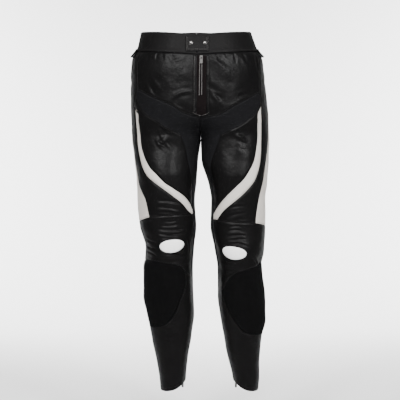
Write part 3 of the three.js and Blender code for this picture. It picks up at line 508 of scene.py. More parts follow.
# %% Seams as smooth lines through places
SEAMS = {
  "right": {
    "bandSide": [[0.281, 34], [0.263, 2], [0.27, -14], [0.31, -25], [0.4, -31]],
    "bandBack": [[0.62, 36], [0.62, -22]],
    "hipFront": [[0.37, -29.5], [0.35, -85], [0.341, -140], [0.36, -156], [0.384, -184]],
    "hipBack": [[0.6, -22], [0.61, -120], [0.612, -220], [0.625, -330], [0.64, -430], [0.65, -514]],
    "vee": [[0.341, -140], [0.3, -145], [0.245, -157], [0.155, -178], [0.107, -190], [0.07, -207],
      [0.028, -216], [0, -222]],
    "thighTop": [[0.361, -157], [0.34, -173], [0.274, -209], [0.207, -231], [0.138, -256], [0.1, -268]],
    "inseamFront": [[0.1, -268], [0.1, -282], [0.1, -309], [0.107, -360], [0.09, -396], [0.067, -440],
      [0.066, -490], [0.06, -560], [0.052, -640], [0, -700]],
    "stripeInner": [[0.384, -184], [0.343, -203], [0.343, -236], [0.347, -269], [0.356, -303],
      [0.348, -332], [0.326, -360], [0.297, -378], [0.253, -403], [0.201, -421], [0.144, -438],
      [0.094, -457], [0.066, -475]],
    "stripeOuter": [[0.384, -184], [0.369, -203], [0.371, -236], [0.377, -269], [0.388, -303],
      [0.388, -332], [0.378, -358], [0.354, -381], [0.321, -395], [0.266, -416], [0.21, -438],
      [0.157, -457], [0.116, -477], [0.085, -487]],
    "sideFront": [[0.5, -150], [0.474, -200], [0.462, -300], [0.456, -360], [0.436, -403],
      [0.399, -427], [0.368, -449], [0.354, -478], [0.348, -497]],
    "sideBack": [[0.5, -150], [0.545, -200], [0.59, -270], [0.628, -323]],
    "kneeTopOuter": [[0.652, -513], [0.5, -508], [0.427, -505], [0.348, -497]],
    "kneeTopInner": [[0.348, -497], [0.282, -495], [0.205, -492], [0.12, -489], [0.066, -487]],
    "sideSeam": [[0.56, -510], [0.56, -620], [0.56, -800], [0.56, -1010]],
    "neckInner": [[0.13, -654.5], [0.02, -664]],
    "neckOuter": [[0.44, -616], [0.5, -618], [0.56, -622]],
    "seatFold": [[0.62, -306], [0.75, -313], [0.9, -313]],
    "inseamBack": [[1, -236], [0.95, -244], [0.915, -258], [0.9, -272], [0.893, -292], [0.9, -370],
      [0.93, -450], [0.935, -520], [0.945, -640], [1, -705]],
    "kneeBack": [[0.56, -565], [0.75, -560], [0.944, -560]],
    "sliderTop": [[0.44, -616], [0.36, -619], [0.267, -625], [0.172, -634], [0.125, -655]],
    "sliderInner": [[0.125, -655], [0.13, -690], [0.165, -722], [0.21, -762], [0.275, -796],
      [0.36, -806], [0.44, -810]],
    "sliderOuter": [[0.44, -810], [0.445, -712], [0.44, -616]],
  },
  "left": {
    "bandSide": [[0.44, 36], [0.435, -29]],
    "bandBack": [[0.62, 36], [0.62, -22]],
    "hipFront": [[0.387, -29], [0.372, -75], [0.352, -120], [0.343, -148], [0.348, -165], [0.345, -186]],
    "hipBack": [[0.6, -22], [0.61, -120], [0.612, -220], [0.625, -330], [0.64, -430], [0.65, -527]],
    "vee": [[0.343, -148], [0.299, -153], [0.214, -172], [0.138, -193], [0.087, -212], [0.031, -220],
      [0, -222]],
    "thighTop": [[0.349, -172], [0.297, -202], [0.24, -225], [0.176, -247], [0.102, -268]],
    "inseamFront": [[0.102, -268], [0.099, -282], [0.097, -323], [0.097, -368], [0.081, -400],
      [0.067, -440], [0.066, -503], [0.06, -570], [0.052, -655], [0, -715]],
    "stripeInner": [[0.345, -186], [0.311, -205], [0.309, -236], [0.318, -270], [0.323, -299],
      [0.326, -326], [0.322, -346], [0.307, -366], [0.281, -388], [0.229, -416], [0.168, -443],
      [0.115, -466], [0.067, -489]],
    "stripeOuter": [[0.345, -186], [0.341, -207], [0.344, -236], [0.351, -281], [0.363, -315],
      [0.366, -348], [0.356, -371], [0.337, -393], [0.301, -416], [0.248, -443], [0.199, -463],
      [0.162, -477], [0.127, -494], [0.11, -504]],
    "sideFront": [[0.5, -155], [0.462, -210], [0.436, -270], [0.424, -330], [0.41, -380],
      [0.399, -403], [0.383, -435], [0.368, -463], [0.357, -490], [0.353, -513]],
    "sideBack": [[0.5, -155], [0.545, -205], [0.59, -272], [0.628, -323]],
    "kneeTopOuter": [[0.652, -526], [0.5, -521], [0.427, -518], [0.353, -513]],
    "kneeTopInner": [[0.353, -513], [0.282, -514], [0.202, -511], [0.11, -504], [0.066, -503]],
    "sideSeam": [[0.56, -523], [0.56, -620], [0.56, -800], [0.56, -1010]],
    "neckInner": [[0.096, -703], [0.012, -694]],
    "neckOuter": [[0.44, -624], [0.5, -626], [0.56, -630]],
    "seatFold": [[0.62, -306], [0.75, -313], [0.9, -313]],
    "inseamBack": [[1, -236], [0.95, -244], [0.915, -258], [0.9, -272], [0.893, -292], [0.9, -370],
      [0.93, -450], [0.935, -520], [0.945, -650], [1, -720]],
    "kneeBack": [[0.56, -572], [0.75, -566], [0.944, -566]],
    "sliderTop": [[0.44, -624], [0.365, -635], [0.245, -649], [0.157, -673], [0.096, -703]],
    "sliderInner": [[0.096, -703], [0.116, -731], [0.156, -770], [0.208, -803], [0.258, -823],
      [0.35, -829], [0.44, -831]],
    "sliderOuter": [[0.44, -831], [0.445, -728], [0.44, -624]],
  },
}
BAND_PLACES = [0, 0.06, 0.125, 0.25, 0.375, 0.5, 0.625, 0.75, 0.875, 1]


def smooth_line(places, each=30):
    """A Catmull-Rom curve: between two places it is the cubic whose slopes at the ends are half the
    step between the places before and after."""
    p = np.asarray(places, float)
    padded_places = np.concatenate([p[:1], p, p[-1:]])
    t = np.arange(each)[:, None] / each
    before, start, end, after = (padded_places[k:len(p) - 1 + k, None, :] for k in range(4))
    slope_in, slope_out = (end - before) / 2, (after - start) / 2
    curve = (
        (2 * start - 2 * end + slope_in + slope_out) * t ** 3
        + (3 * end - 3 * start - 2 * slope_in - slope_out) * t ** 2
        + slope_in * t + start)
    return np.concatenate([curve.reshape(-1, 2), p[-1:]])


def constant_line(at, high, low):
    """A line straight down the sheet at one share across."""
    return np.stack([np.full(60, float(at)), np.linspace(high, low, 60)], axis=1)


LINES = {}
for side, seams in SEAMS.items():
    lines = {name: smooth_line(places) for name, places in seams.items()}
    band = np.array([[a, waist_line(a) - BAND_WIDTH / 2] for a in BAND_PLACES])
    lines["band"] = smooth_line(band)
    lines["rim"] = lines["band"] + [0, BAND_WIDTH]
    around = np.linspace(0, 1, 200)
    lines["hem"] = np.stack([around, hem_line(around)], axis=1)
    lines["front"] = constant_line(0, waist_line(0) + BAND_WIDTH / 2, hem_line(0))
    lines["back"] = constant_line(1, waist_line(1) + BAND_WIDTH / 2, hem_line(1))
    LINES[side] = lines
print("lines on each side:", len(LINES["left"]))

# %% Corners and stretches of a line
PLACE_SCALE = np.array([500.0, 1.0])  # a share across is about 500 mm long


def meeting(side, first, second):
    """Where two lines come nearest to each other."""
    a, b = LINES[side][first], LINES[side][second]
    gap = np.linalg.norm((a[:, None] - b[None]) * PLACE_SCALE, axis=-1)
    i, j = np.unravel_index(gap.argmin(), gap.shape)
    return (a[i] + b[j]) / 2


def place_on(side, name, near):
    """The place on a line that is nearest to a given one."""
    line = LINES[side][name]
    return line[np.linalg.norm((line - near) * PLACE_SCALE, axis=1).argmin()]


def stretch_of(side, name, start, end):
    """The stretch of a line between two places on it, in that order, with those places as its ends."""
    line = LINES[side][name]
    first, last = (np.linalg.norm((line - p) * PLACE_SCALE, axis=1).argmin() for p in (start, end))
    middle = line[first + 1:last] if first <= last else line[last + 1:first][::-1]
    return np.concatenate([[start], middle, [end]])


def length_of(side, line):
    """Length of a line on the form, in millimetres."""
    return np.linalg.norm(np.diff(form(side, line[:, 0], line[:, 1]), axis=0), axis=1).sum()


def even(side, line, count):
    """The line again as count + 1 places, evenly spaced by length on the form."""
    line = np.asarray(line, float)
    if len(line) == 2:
        line = line[0] + (line[1] - line[0]) * np.linspace(0, 1, 25)[:, None]
    points = form(side, line[:, 0], line[:, 1])
    steps = np.linalg.norm(np.diff(points, axis=0), axis=1)
    travelled = np.concatenate([[0], np.cumsum(np.maximum(steps, 1e-7))])
    wanted = np.linspace(0, travelled[-1], count + 1)
    return np.stack([np.interp(wanted, travelled, line[:, k]) for k in (0, 1)], axis=1)


def joined(*lines):
    """Lines end to end, without repeating the shared places."""
    return np.concatenate([lines[0], *[line[1:] for line in lines[1:]]])


print("left knee seam", round(float(length_of("left", LINES["left"]["kneeTopInner"]))), "mm")

# %% [markdown]
# ## Panels as patches
#
# A panel with four edges can be filled by a Coons patch: each inner place is the blend of the two
# places across from it on one pair of edges, plus the same for the other pair, minus the blend of the
# corners. That keeps the rows of the mesh running along the seams. Panels with more corners are two
# or three patches that share an edge. Millimetre cells would be wasteful on a smooth shin, so each
# panel states its own cell, small where the leather is creased.

# %% Coons patches
def coons(top, bottom, left, right):
    """Places inside four edges: the sum of the two ruled surfaces minus the bilinear one."""
    s = np.linspace(0, 1, len(top))[None, :, None]
    t = np.linspace(0, 1, len(left))[:, None, None]
    ruled = (1 - t) * top[None] + t * bottom[None] + (1 - s) * left[:, None] + s * right[:, None]
    corners = (1 - t) * ((1 - s) * top[0] + s * top[-1]) + t * ((1 - s) * bottom[0] + s * bottom[-1])
    return ruled - corners


def cells(side, size, *lines):
    """How many cells of this size go along the longest of the lines."""
    return max(2, round(max(length_of(side, even(side, line, 16)) for line in lines) / size))


def edge(side, line, counts):
    """An edge as places. A list of lines is split line by line, so that a neighbour can share one."""
    if isinstance(line, list):
        return joined(*[even(side, part, count) for part, count in zip(line, counts)])
    return even(side, line, sum(counts))


def fill(side, columns, rows, top, bottom, left, right):
    """A patch between four lines. columns and rows are lists of counts, one for each shared line."""
    return coons(edge(side, top, columns), edge(side, bottom, columns),
                 edge(side, left, rows), edge(side, right, rows))


def weld(grids):
    """All the grids' places in one list without doubles, and the triangles between them."""
    places, faces, start = [], [], 0
    for grid in grids:
        rows, columns = grid.shape[:2]
        index = start + np.arange(rows * columns).reshape(rows, columns)
        a, b, c, d = index[:-1, :-1], index[1:, :-1], index[1:, 1:], index[:-1, 1:]
        faces.append(np.stack([a, b, c, a, c, d], axis=-1).reshape(-1, 3))
        places.append(grid.reshape(-1, 2))
        start += rows * columns
    places, faces = np.concatenate(places), np.concatenate(faces)
    key = np.round(places * [2e4, 20]).astype(np.int64)
    _, first, same = np.unique(key, axis=0, return_index=True, return_inverse=True)
    faces = same.reshape(-1)[faces]
    distinct = (faces[:, 0] != faces[:, 1]) & (faces[:, 1] != faces[:, 2]) & (faces[:, 0] != faces[:, 2])
    return places[first], faces[distinct]


def open_edges(faces):
    """The directed edges that only one triangle uses: the outline of the sheet."""
    edges = np.concatenate([faces[:, [0, 1]], faces[:, [1, 2]], faces[:, [2, 0]]])
    key = np.sort(edges, axis=1)
    _, inverse, counts = np.unique(key, axis=0, return_inverse=True, return_counts=True)
    return edges[counts[inverse.reshape(-1)] == 1]


square = coons(*[np.array(edge, float) for edge in (
    [[0, 0], [1, 0]], [[0, 1], [1, 1]], [[0, 0], [0, 1]], [[1, 0], [1, 1]])])
print("a unit square has", len(open_edges(weld([square])[1])), "open edges")

# %% The panels of one side
def lower_panels(side, c, line, size):
    """Patches of the knee, shin, calf and knee-slider panels."""
    straight = lambda *names: np.array([c[name] for name in names])
    neck = line("neckInner", "neck_inner", "slider_inner")
    slider_side = line("sliderInner", "slider_inner", "slider_corner")
    slider_foot = line("sliderInner", "slider_corner", "slider_low")
    foot_in, foot_out = straight("shin_inner", "slider_corner"), straight("slider_low", "shin_outer")
    inner_edge = joined(line("inseamFront", "neck_inner", "inseam_low"),
                        line("front", "inseam_low", "shin_inner"))
    across = [cells(side, size["shin"], part) for part in (foot_in, slider_foot, foot_out)]
    down = cells(side, size["shin"], slider_side)
    shin = [
        fill(side, across[:1], [down], neck, foot_in, inner_edge, slider_side),
        fill(side, across[2:], [down], line("neckOuter", "slider_high", "neck_side"), foot_out,
             line("sliderOuter", "slider_high", "slider_low"), line("sideSeam", "neck_side", "shin_outer")),
        fill(side, across, [cells(side, size["shin"], line("front", "shin_inner", "hem_front"))],
             [foot_in, slider_foot, foot_out], line("hem", "hem_front", "hem_side"),
             line("front", "shin_inner", "hem_front"), line("sideSeam", "shin_outer", "hem_side")),
    ]
    knee_top = joined(line("kneeTopInner", "knee_inner", "knee_front"),
                      line("kneeTopOuter", "knee_front", "knee_side"))
    knee_foot = joined(line("neckInner", "neck_inner", "slider_inner"),
                       line("sliderTop", "slider_inner", "slider_high"),
                       line("neckOuter", "slider_high", "neck_side"))
    knee_in = line("inseamFront", "knee_inner", "neck_inner")
    knee = fill(side, [cells(side, size["knee"], knee_top)], [cells(side, size["knee"], knee_in)],
                knee_top, knee_foot, knee_in, line("sideSeam", "knee_side", "neck_side"))
    slider_top = line("sliderTop", "slider_inner", "slider_high")
    slider = fill(side, [cells(side, size["knee_slider"], slider_top)],
                  [cells(side, size["knee_slider"], slider_side)], slider_top, slider_foot,
                  slider_side, line("sliderOuter", "slider_high", "slider_low"))
    calf_top = line("kneeBack", "knee_back_side", "knee_back_inner")
    calf_side = line("sideSeam", "knee_back_side", "hem_side")
    calf_in = joined(line("inseamBack", "knee_back_inner", "inseam_back_low"),
                     line("back", "inseam_back_low", "hem_back"))
    calf = fill(side, [cells(side, size["calf"], calf_top)], [cells(side, size["calf"], calf_side)],
                calf_top, line("hem", "hem_side", "hem_back"), calf_side, calf_in)
    return {"knee": [knee], "knee_slider": [slider], "shin": shin, "calf": [calf]}


def thigh_panels(side, c, line, size):
    """Patches of the stripes, the thigh and the stretch panels."""
    straight = lambda *names: np.array([c[name] for name in names])
    thigh_out = joined(line("hipFront", "top_side", "stripe_top"),
                       line("stripeInner", "stripe_top", "stripe_in"))
    thigh_in = line("inseamFront", "crotch_front", "stripe_in")
    top = line("thighTop", "crotch_front", "top_side")
    point = straight("stripe_in", "stripe_in")
    thigh = fill(side, [cells(side, size["thigh_front"], top)],
                 [cells(side, size["thigh_front"], thigh_out)], top, point, thigh_in, thigh_out)
    stripe_in = joined(line("stripeInner", "stripe_top", "stripe_in"),
                       line("inseamFront", "stripe_in", "knee_inner"))
    stripe = fill(side, [7], [cells(side, size["front_stripe"], stripe_in)],
                  straight("stripe_top", "stripe_top"), line("kneeTopInner", "knee_inner", "stripe_out"),
                  stripe_in, line("stripeOuter", "stripe_top", "stripe_out"))
    side_back = joined(line("sideBack", "side_top", "side_low"), line("hipBack", "side_low", "knee_back"))
    side_front = line("sideFront", "side_top", "knee_front")
    knee_out = line("kneeTopOuter", "knee_front", "knee_back")
    side_stripe = fill(side, [cells(side, size["side_stripe"], knee_out)],
                       [cells(side, size["side_stripe"], side_front)],
                       straight("side_top", "side_top"), knee_out, side_front, side_back)
    ribbon_in = [line("front", "vee_centre", "inseam_low"), line("vee", "vee_side", "vee_centre")]
    ribbon_out = [line("inseamFront", "crotch_front", "inseam_low"),
                  line("thighTop", "top_side", "crotch_front")]
    counts = [cells(side, size["stretch_front"], part) for part in ribbon_in]
    stretch = fill(side, [cells(side, size["stretch_front"], straight("vee_centre", "crotch_front"))],
                   counts[::-1], line("hipFront", "vee_side", "top_side"),
                   straight("inseam_low", "inseam_low"), ribbon_in[::-1], ribbon_out[::-1])
    back_in = line("inseamBack", "seat_centre", "inseam_back_low")
    stretch_back = fill(side, [10], [cells(side, size["stretch_back"], back_in)],
                        straight("seat_centre", "seat_centre"),
                        straight("inseam_back_low", "inseam_back_low"),
                        back_in, line("back", "seat_centre", "inseam_back_low"))
    return {"thigh_front": [thigh], "front_stripe": [stripe], "side_stripe": [side_stripe],
            "stretch_front": [stretch], "stretch_back": [stretch_back]}


def upper_panels(side, c, line, size):
    """Patches of the front, hip, seat and back thigh panels."""
    straight = lambda *names: np.array([c[name] for name in names])
    front_top, vee = line("band", "band_front", "band_hip"), line("vee", "vee_centre", "vee_side")
    fly = line("front", "band_front", "vee_centre")
    front = fill(side, [cells(side, size["upper_front"], front_top)],
                 [cells(side, size["upper_front"], fly)], front_top, vee, fly,
                 line("hipFront", "band_hip", "vee_side"))
    yoke = [straight("stripe_top", "side_top"), straight("side_top", "hip_mid")]
    yoke_counts = [cells(side, size["hip_outer"], part) for part in yoke]
    stripe_edge = line("stripeOuter", "stripe_top", "stripe_out")
    sliver = line("sideBack", "side_top", "side_low")
    hip_front = line("hipFront", "band_hip", "stripe_top")
    hip = [
        fill(side, yoke_counts, [cells(side, size["hip_outer"], hip_front)],
             line("band", "band_hip", "band_seat"), yoke, hip_front, line("hipBack", "band_seat", "hip_mid")),
        fill(side, yoke_counts[:1], [cells(side, size["hip_outer"], stripe_edge)], yoke[0],
             line("kneeTopInner", "stripe_out", "knee_front"), stripe_edge,
             line("sideFront", "side_top", "knee_front")),
        fill(side, yoke_counts[1:], [cells(side, size["hip_outer"], sliver)], yoke[1],
             straight("side_low", "side_low"), sliver, line("hipBack", "hip_mid", "side_low")),
    ]
    seat_top, seat_out = line("band", "band_seat", "band_back"), line("hipBack", "band_seat", "fold_out")
    seat_in = joined(line("back", "band_back", "seat_centre"),
                     line("inseamBack", "seat_centre", "fold_in"))
    seat = fill(side, [cells(side, size["seat"], seat_top)], [cells(side, size["seat"], seat_out)],
                seat_top, line("seatFold", "fold_out", "fold_in"), seat_out, seat_in)
    waist_of_thigh = straight("knee_back", "thigh_in")
    small = line("kneeTopOuter", "knee_side", "knee_back")
    counts = [cells(side, size["thigh_back"], small), cells(side, size["thigh_back"], waist_of_thigh)]
    thigh_out = line("hipBack", "fold_out", "knee_back")
    low_side = line("sideSeam", "knee_side", "knee_back_side")
    thigh = [
        fill(side, counts[1:], [cells(side, size["thigh_back"], thigh_out)],
             line("seatFold", "fold_out", "fold_in"), waist_of_thigh, thigh_out,
             line("inseamBack", "fold_in", "thigh_in")),
        fill(side, counts, [cells(side, size["thigh_back"], low_side)], [small, waist_of_thigh],
             line("kneeBack", "knee_back_side", "knee_back_inner"), low_side,
             line("inseamBack", "thigh_in", "knee_back_inner")),
    ]
    return {"upper_front": [front], "hip_outer": hip, "seat": [seat], "thigh_back": thigh}


# corner: the two lines that meet there
MEETINGS = {
    "band_front": ("front", "band"), "band_hip": ("hipFront", "band"),
    "band_seat": ("hipBack", "band"), "band_back": ("back", "band"),
    "vee_side": ("vee", "hipFront"), "vee_centre": ("vee", "front"),
    "top_side": ("thighTop", "hipFront"), "crotch_front": ("thighTop", "inseamFront"),
    "stripe_in": ("stripeInner", "inseamFront"), "knee_inner": ("kneeTopInner", "inseamFront"),
    "stripe_out": ("stripeOuter", "kneeTopInner"), "knee_front": ("kneeTopInner", "kneeTopOuter"),
    "knee_side": ("kneeTopOuter", "sideSeam"), "knee_back": ("kneeTopOuter", "hipBack"),
    "side_top": ("sideFront", "sideBack"), "side_low": ("sideBack", "hipBack"),
    "neck_inner": ("neckInner", "inseamFront"), "neck_side": ("neckOuter", "sideSeam"),
    "inseam_low": ("inseamFront", "front"), "fold_out": ("seatFold", "hipBack"),
    "fold_in": ("seatFold", "inseamBack"), "knee_back_side": ("kneeBack", "sideSeam"),
    "knee_back_inner": ("kneeBack", "inseamBack"), "hem_front": ("front", "hem"),
    "hem_side": ("sideSeam", "hem"), "hem_back": ("back", "hem"),
}
# corner: the line it lies on, and the places it is nearest to on the right and on the left
SINGLE_CORNERS = {
    "stripe_top": ("hipFront", (0.384, -184), (0.345, -186)),
    "hip_mid": ("hipBack", (0.61, -165), (0.61, -168)),
    "slider_inner": ("sliderTop", (0.125, -655), (0.096, -703)),
    "slider_high": ("sliderTop", (0.44, -616), (0.44, -624)),
    "slider_low": ("sliderInner", (0.44, -810), (0.44, -831)),
    "slider_corner": ("sliderInner", (0.21, -762), (0.208, -803)),
    "shin_inner": ("front", (0, -790), (0, -825)),
    "shin_outer": ("sideSeam", (0.56, -818), (0.56, -838)),
    "seat_centre": ("inseamBack", (1, -236), (1, -236)),
    "inseam_back_low": ("inseamBack", (1, -705), (1, -720)),
    "thigh_in": ("inseamBack", (0.935, -520), (0.935, -530)),
}
CELL = {
    "upper_front": 3.2, "hip_outer": 3.2, "stretch_front": 3.6, "thigh_front": 3.0,
    "front_stripe": 2.8, "side_stripe": 3.4, "knee": 1.9, "knee_slider": 3.0, "shin": 3.2,
    "calf": 3.4, "seat": 3.6, "stretch_back": 3.6, "thigh_back": 3.0, "waistband": 3.0,
}


def corner_places(side):
    """All corners of one side: where two lines meet, or the place on a line nearest to a given one."""
    found = {name: meeting(side, *pair) for name, pair in MEETINGS.items()}
    for name, (line, right, left) in SINGLE_CORNERS.items():
        found[name] = place_on(side, line, right if side == "right" else left)
    return found


PANELS = {}
for side in SIDES:
    corners = corner_places(side)

    def stretch(name, start, end, side=side, corners=corners):
        return stretch_of(side, name, corners[start], corners[end])

    PANELS[side] = {
        **upper_panels(side, corners, stretch, CELL),
        **thigh_panels(side, corners, stretch, CELL),
        **lower_panels(side, corners, stretch, CELL),
    }
print({name: [grid.shape[:2] for grid in grids] for name, grids in PANELS["left"].items()})

# %% [markdown]
# ## Materials
#
# Cowhide is dyed through and finished with a thin clear coat, so it shines softly and shows a fine
# pebbled grain. The grain is far too small to model, so it is a bump made from Voronoi cells about a
# millimetre across, read from object coordinates, where it can't slide or stretch. The stretch knit
# and the hook panels have no coat at all, and the metal parts are nickel.

# %% Material helpers
def new_material(name, color, roughness, metallic=0.0, specular=0.5):
    """A material with a Principled shader whose plain numbers sit on its own sockets."""
    material = bpy.data.materials.new(name)
    material.use_nodes = True
    shader = material.node_tree.nodes["Principled BSDF"]
    values = {"Base Color": (*color, 1), "Roughness": roughness, "Metallic": metallic,
              "Specular IOR Level": specular}
    for socket, value in values.items():
        shader.inputs[socket].default_value = value
    return material, material.node_tree, shader


def node(tree, kind, inputs=(), **settings):
    """A shader node with its settings, and its inputs linked or filled in."""
    made = tree.nodes.new(kind)
    for key, value in settings.items():
        setattr(made, key, value)
    for socket, value in dict(inputs).items():
        if isinstance(value, bpy.types.NodeSocket):
            tree.links.new(value, made.inputs[socket])
        else:
            made.inputs[socket].default_value = value
    return made


def color_between(tree, factor, dark, light):
    """A colour that goes from dark to light with the factor."""
    mix = node(tree, "ShaderNodeMix", data_type="RGBA")
    tree.links.new(factor, mix.inputs[0])
    mix.inputs[6].default_value = (*dark, 1)
    mix.inputs[7].default_value = (*light, 1)
    return mix.outputs[2]


def object_place(tree):
    """The piece's own coordinates, in metres."""
    return node(tree, "ShaderNodeTexCoord").outputs["Object"]


# %% Leather
def leather(name, dark, light, suede, roughness, grain=0.00012, wrinkle=0.0009, specular=0.5):
    """Grained leather: cells for the pebbles, stretched noise for the small wrinkles that wear leaves,
    patchy gloss, and a matte flesh side where 'inside' is 1."""
    material, tree, shader = new_material(name, light, roughness, specular=specular)
    place = object_place(tree)
    patches = node(tree, "ShaderNodeTexNoise", {"Vector": place, "Scale": 26, "Detail": 4})
    pebbles = node(tree, "ShaderNodeTexVoronoi", {"Vector": place, "Scale": 850, "Randomness": 1.0},
                   feature="DISTANCE_TO_EDGE")
    wrinkles = node(tree, "ShaderNodeTexNoise", {"Vector": place, "Scale": 120, "Detail": 6,
                                                 "Roughness": 0.62, "Distortion": 0.2})
    outer = color_between(tree, patches.outputs["Fac"], dark, light)
    inside = node(tree, "ShaderNodeAttribute", attribute_name="inside")
    whole = node(tree, "ShaderNodeMix", data_type="RGBA")
    tree.links.new(inside.outputs["Fac"], whole.inputs[0])
    tree.links.new(outer, whole.inputs[6])
    whole.inputs[7].default_value = (*suede, 1)
    tree.links.new(whole.outputs[2], shader.inputs["Base Color"])
    gloss = node(tree, "ShaderNodeMapRange", {
        "Value": patches.outputs["Fac"], "From Min": 0.3, "From Max": 0.7,
        "To Min": roughness, "To Max": roughness + 0.1})
    facing = node(tree, "ShaderNodeLayerWeight", {"Blend": 0.5})
    soft_edge = node(tree, "ShaderNodeMapRange", {"Value": facing.outputs["Facing"], "From Min": 0.55,
                                                  "From Max": 0.95, "To Min": 0.0, "To Max": 0.45})
    scattered = node(tree, "ShaderNodeMath", {0: gloss.outputs["Result"], 1: soft_edge.outputs["Result"]},
                     operation="ADD")
    dull = node(tree, "ShaderNodeMix", data_type="FLOAT")
    tree.links.new(inside.outputs["Fac"], dull.inputs[0])
    tree.links.new(scattered.outputs[0], dull.inputs[2])
    dull.inputs[3].default_value = 0.95
    tree.links.new(dull.outputs[0], shader.inputs["Roughness"])
    pits = node(tree, "ShaderNodeMath", {0: pebbles.outputs["Distance"], 1: 0.35}, operation="MINIMUM")
    soft = node(tree, "ShaderNodeBump", {"Height": wrinkles.outputs["Fac"], "Strength": 0.8,
                                         "Distance": wrinkle})
    bump = node(tree, "ShaderNodeBump", {"Height": pits.outputs[0], "Strength": 0.5, "Distance": grain,
                                         "Normal": soft.outputs["Normal"]})
    tree.links.new(bump.outputs["Normal"], shader.inputs["Normal"])
    return material


def knit(name, dark, light, ribs, roughness=0.92, depth=0.0003):
    """Cloth with fine raised ribs across the body: a bump of bands over height, broken by noise."""
    material, tree, shader = new_material(name, light, roughness, specular=0.08)
    place = object_place(tree)
    bands = node(tree, "ShaderNodeTexWave", {"Vector": place, "Scale": ribs, "Distortion": 0.6},
                 wave_type="BANDS", bands_direction="Z")
    loops = node(tree, "ShaderNodeTexVoronoi", {"Vector": place, "Scale": ribs * 5})
    fibres = node(tree, "ShaderNodeTexNoise", {"Vector": place, "Scale": 90, "Detail": 4})
    tree.links.new(color_between(tree, fibres.outputs["Fac"], dark, light), shader.inputs["Base Color"])
    sum_node = node(tree, "ShaderNodeMath", {0: loops.outputs["Distance"], 1: 0.5,
                                             2: bands.outputs["Fac"]}, operation="MULTIPLY_ADD")
    bump = node(tree, "ShaderNodeBump", {"Height": sum_node.outputs[0], "Strength": 0.5, "Distance": depth})
    tree.links.new(bump.outputs["Normal"], shader.inputs["Normal"])
    return material


def metal(name, color, roughness):
    """Plated metal with faint uneven polish."""
    material, tree, shader = new_material(name, color, roughness, metallic=1.0)
    wear = node(tree, "ShaderNodeTexNoise", {"Vector": object_place(tree), "Scale": 700, "Detail": 3})
    polish = node(tree, "ShaderNodeMapRange", {"Value": wear.outputs["Fac"], "To Min": roughness - 0.08,
                                               "To Max": roughness + 0.1})
    tree.links.new(polish.outputs["Result"], shader.inputs["Roughness"])
    return material


def printed(name, color, shade):
    """A smooth printed patch, a little rubbed."""
    material, tree, shader = new_material(name, color, 0.45, specular=0.3)
    rub = node(tree, "ShaderNodeTexNoise", {"Vector": object_place(tree), "Scale": 140, "Detail": 5})
    tree.links.new(color_between(tree, rub.outputs["Fac"], shade, color), shader.inputs["Base Color"])
    bump = node(tree, "ShaderNodeBump", {"Height": rub.outputs["Fac"], "Strength": 0.3,
                                         "Distance": 0.0002})
    tree.links.new(bump.outputs["Normal"], shader.inputs["Normal"])
    return material


BLACK_LEATHER = leather("black leather", (0.0032, 0.0031, 0.0032), (0.0044, 0.0042, 0.0043),
                        (0.016, 0.015, 0.015), 0.31, specular=0.06)
BAND_LEATHER = leather("band leather", (0.0044, 0.0042, 0.0043), (0.0062, 0.0059, 0.0060),
                       (0.016, 0.015, 0.015), 0.42, specular=0.04)
PALE_LEATHER = leather("pale leather", (0.44, 0.41, 0.375), (0.585, 0.55, 0.51),
                       (0.06, 0.055, 0.05), 0.5, wrinkle=0.0006, specular=0.3)
STRETCH = knit("stretch knit", (0.0030, 0.0030, 0.0034), (0.0058, 0.0058, 0.0066), 60)
HOOK = knit("hook panel", (0.0010, 0.0010, 0.0011), (0.0024, 0.0024, 0.0026), 160, roughness=1.0,
            depth=0.0006)
TAPE = knit("zip tape", (0.0018, 0.0012, 0.0013), (0.0045, 0.0028, 0.003), 220, depth=0.0001)
# Black thread: its own dark colour, lifted a little above the leather's as painted glint along the rows.
BLACK_THREAD_PAINTED_GLINT = knit("black thread", (0.012, 0.012, 0.012), (0.022, 0.021, 0.021), 900, roughness=0.6,
              depth=0.0001)
# Grey for the tab and one edge of the fly: the thread lifted to grey, partly painted highlight; the fly's
# other edge stays black.
GREY_THREAD_PAINTED_HIGHLIGHT = knit("grey thread", (0.075, 0.072, 0.07), (0.14, 0.134, 0.13), 900, roughness=0.6,
                   depth=0.0001)
PRINT = printed("white patch", (0.94, 0.94, 0.93), (0.84, 0.84, 0.83))
NICKEL = metal("nickel", (0.42, 0.41, 0.40), 0.28)
# The snaps' nickel is far darker than the teeth's: painted shade standing in for the dim surroundings the
# caps reflect.
SHADED_NICKEL = metal("aged nickel", (0.15, 0.147, 0.143), 0.3)
GUNMETAL = metal("dark nickel", (0.07, 0.068, 0.066), 0.3)
print(len(bpy.data.materials), "materials")

# %% [markdown]
# ## From places to sheets
#
# A panel's triangles lie twice in its mesh: once on the outer face and once, turned over, on the inner
# face two millimetres behind it. A strip of faces round the outline closes the two into one thin
# shell. Towards each seam the leather turns down into the stitching, so the outer face drops over the
# last few millimetres and swells just before that. Distance to the outline gives both.

# %% Mesh helpers
def make_object(name, points, faces, material, smooth_angle=50, attribute=None):
    """An object from points in millimetres. Faces are rows of indices, all of one length."""
    mesh = bpy.data.meshes.new(name)
    faces = np.asarray(faces)
    corners = faces.shape[1]
    mesh.vertices.add(len(points))
    mesh.vertices.foreach_set("co", (np.asarray(points) * METRES).astype(np.float32).ravel())
    mesh.loops.add(faces.size)
    mesh.loops.foreach_set("vertex_index", faces.astype(np.int32).ravel())
    mesh.polygons.add(len(faces))
    mesh.polygons.foreach_set("loop_start", np.arange(0, faces.size, corners, dtype=np.int32))
    mesh.update(calc_edges=True)
    mesh.validate()
    if attribute is not None:
        layer = mesh.attributes.new("inside", "FLOAT", "POINT")
        layer.data.foreach_set("value", attribute.astype(np.float32))
    mesh.polygons.foreach_set("use_smooth", np.ones(len(mesh.polygons), bool))
    mesh.set_sharp_from_angle(angle=math.radians(smooth_angle))
    made = bpy.data.objects.new(name, mesh)
    mesh.materials.append(material)
    bpy.context.scene.collection.objects.link(made)
    return made


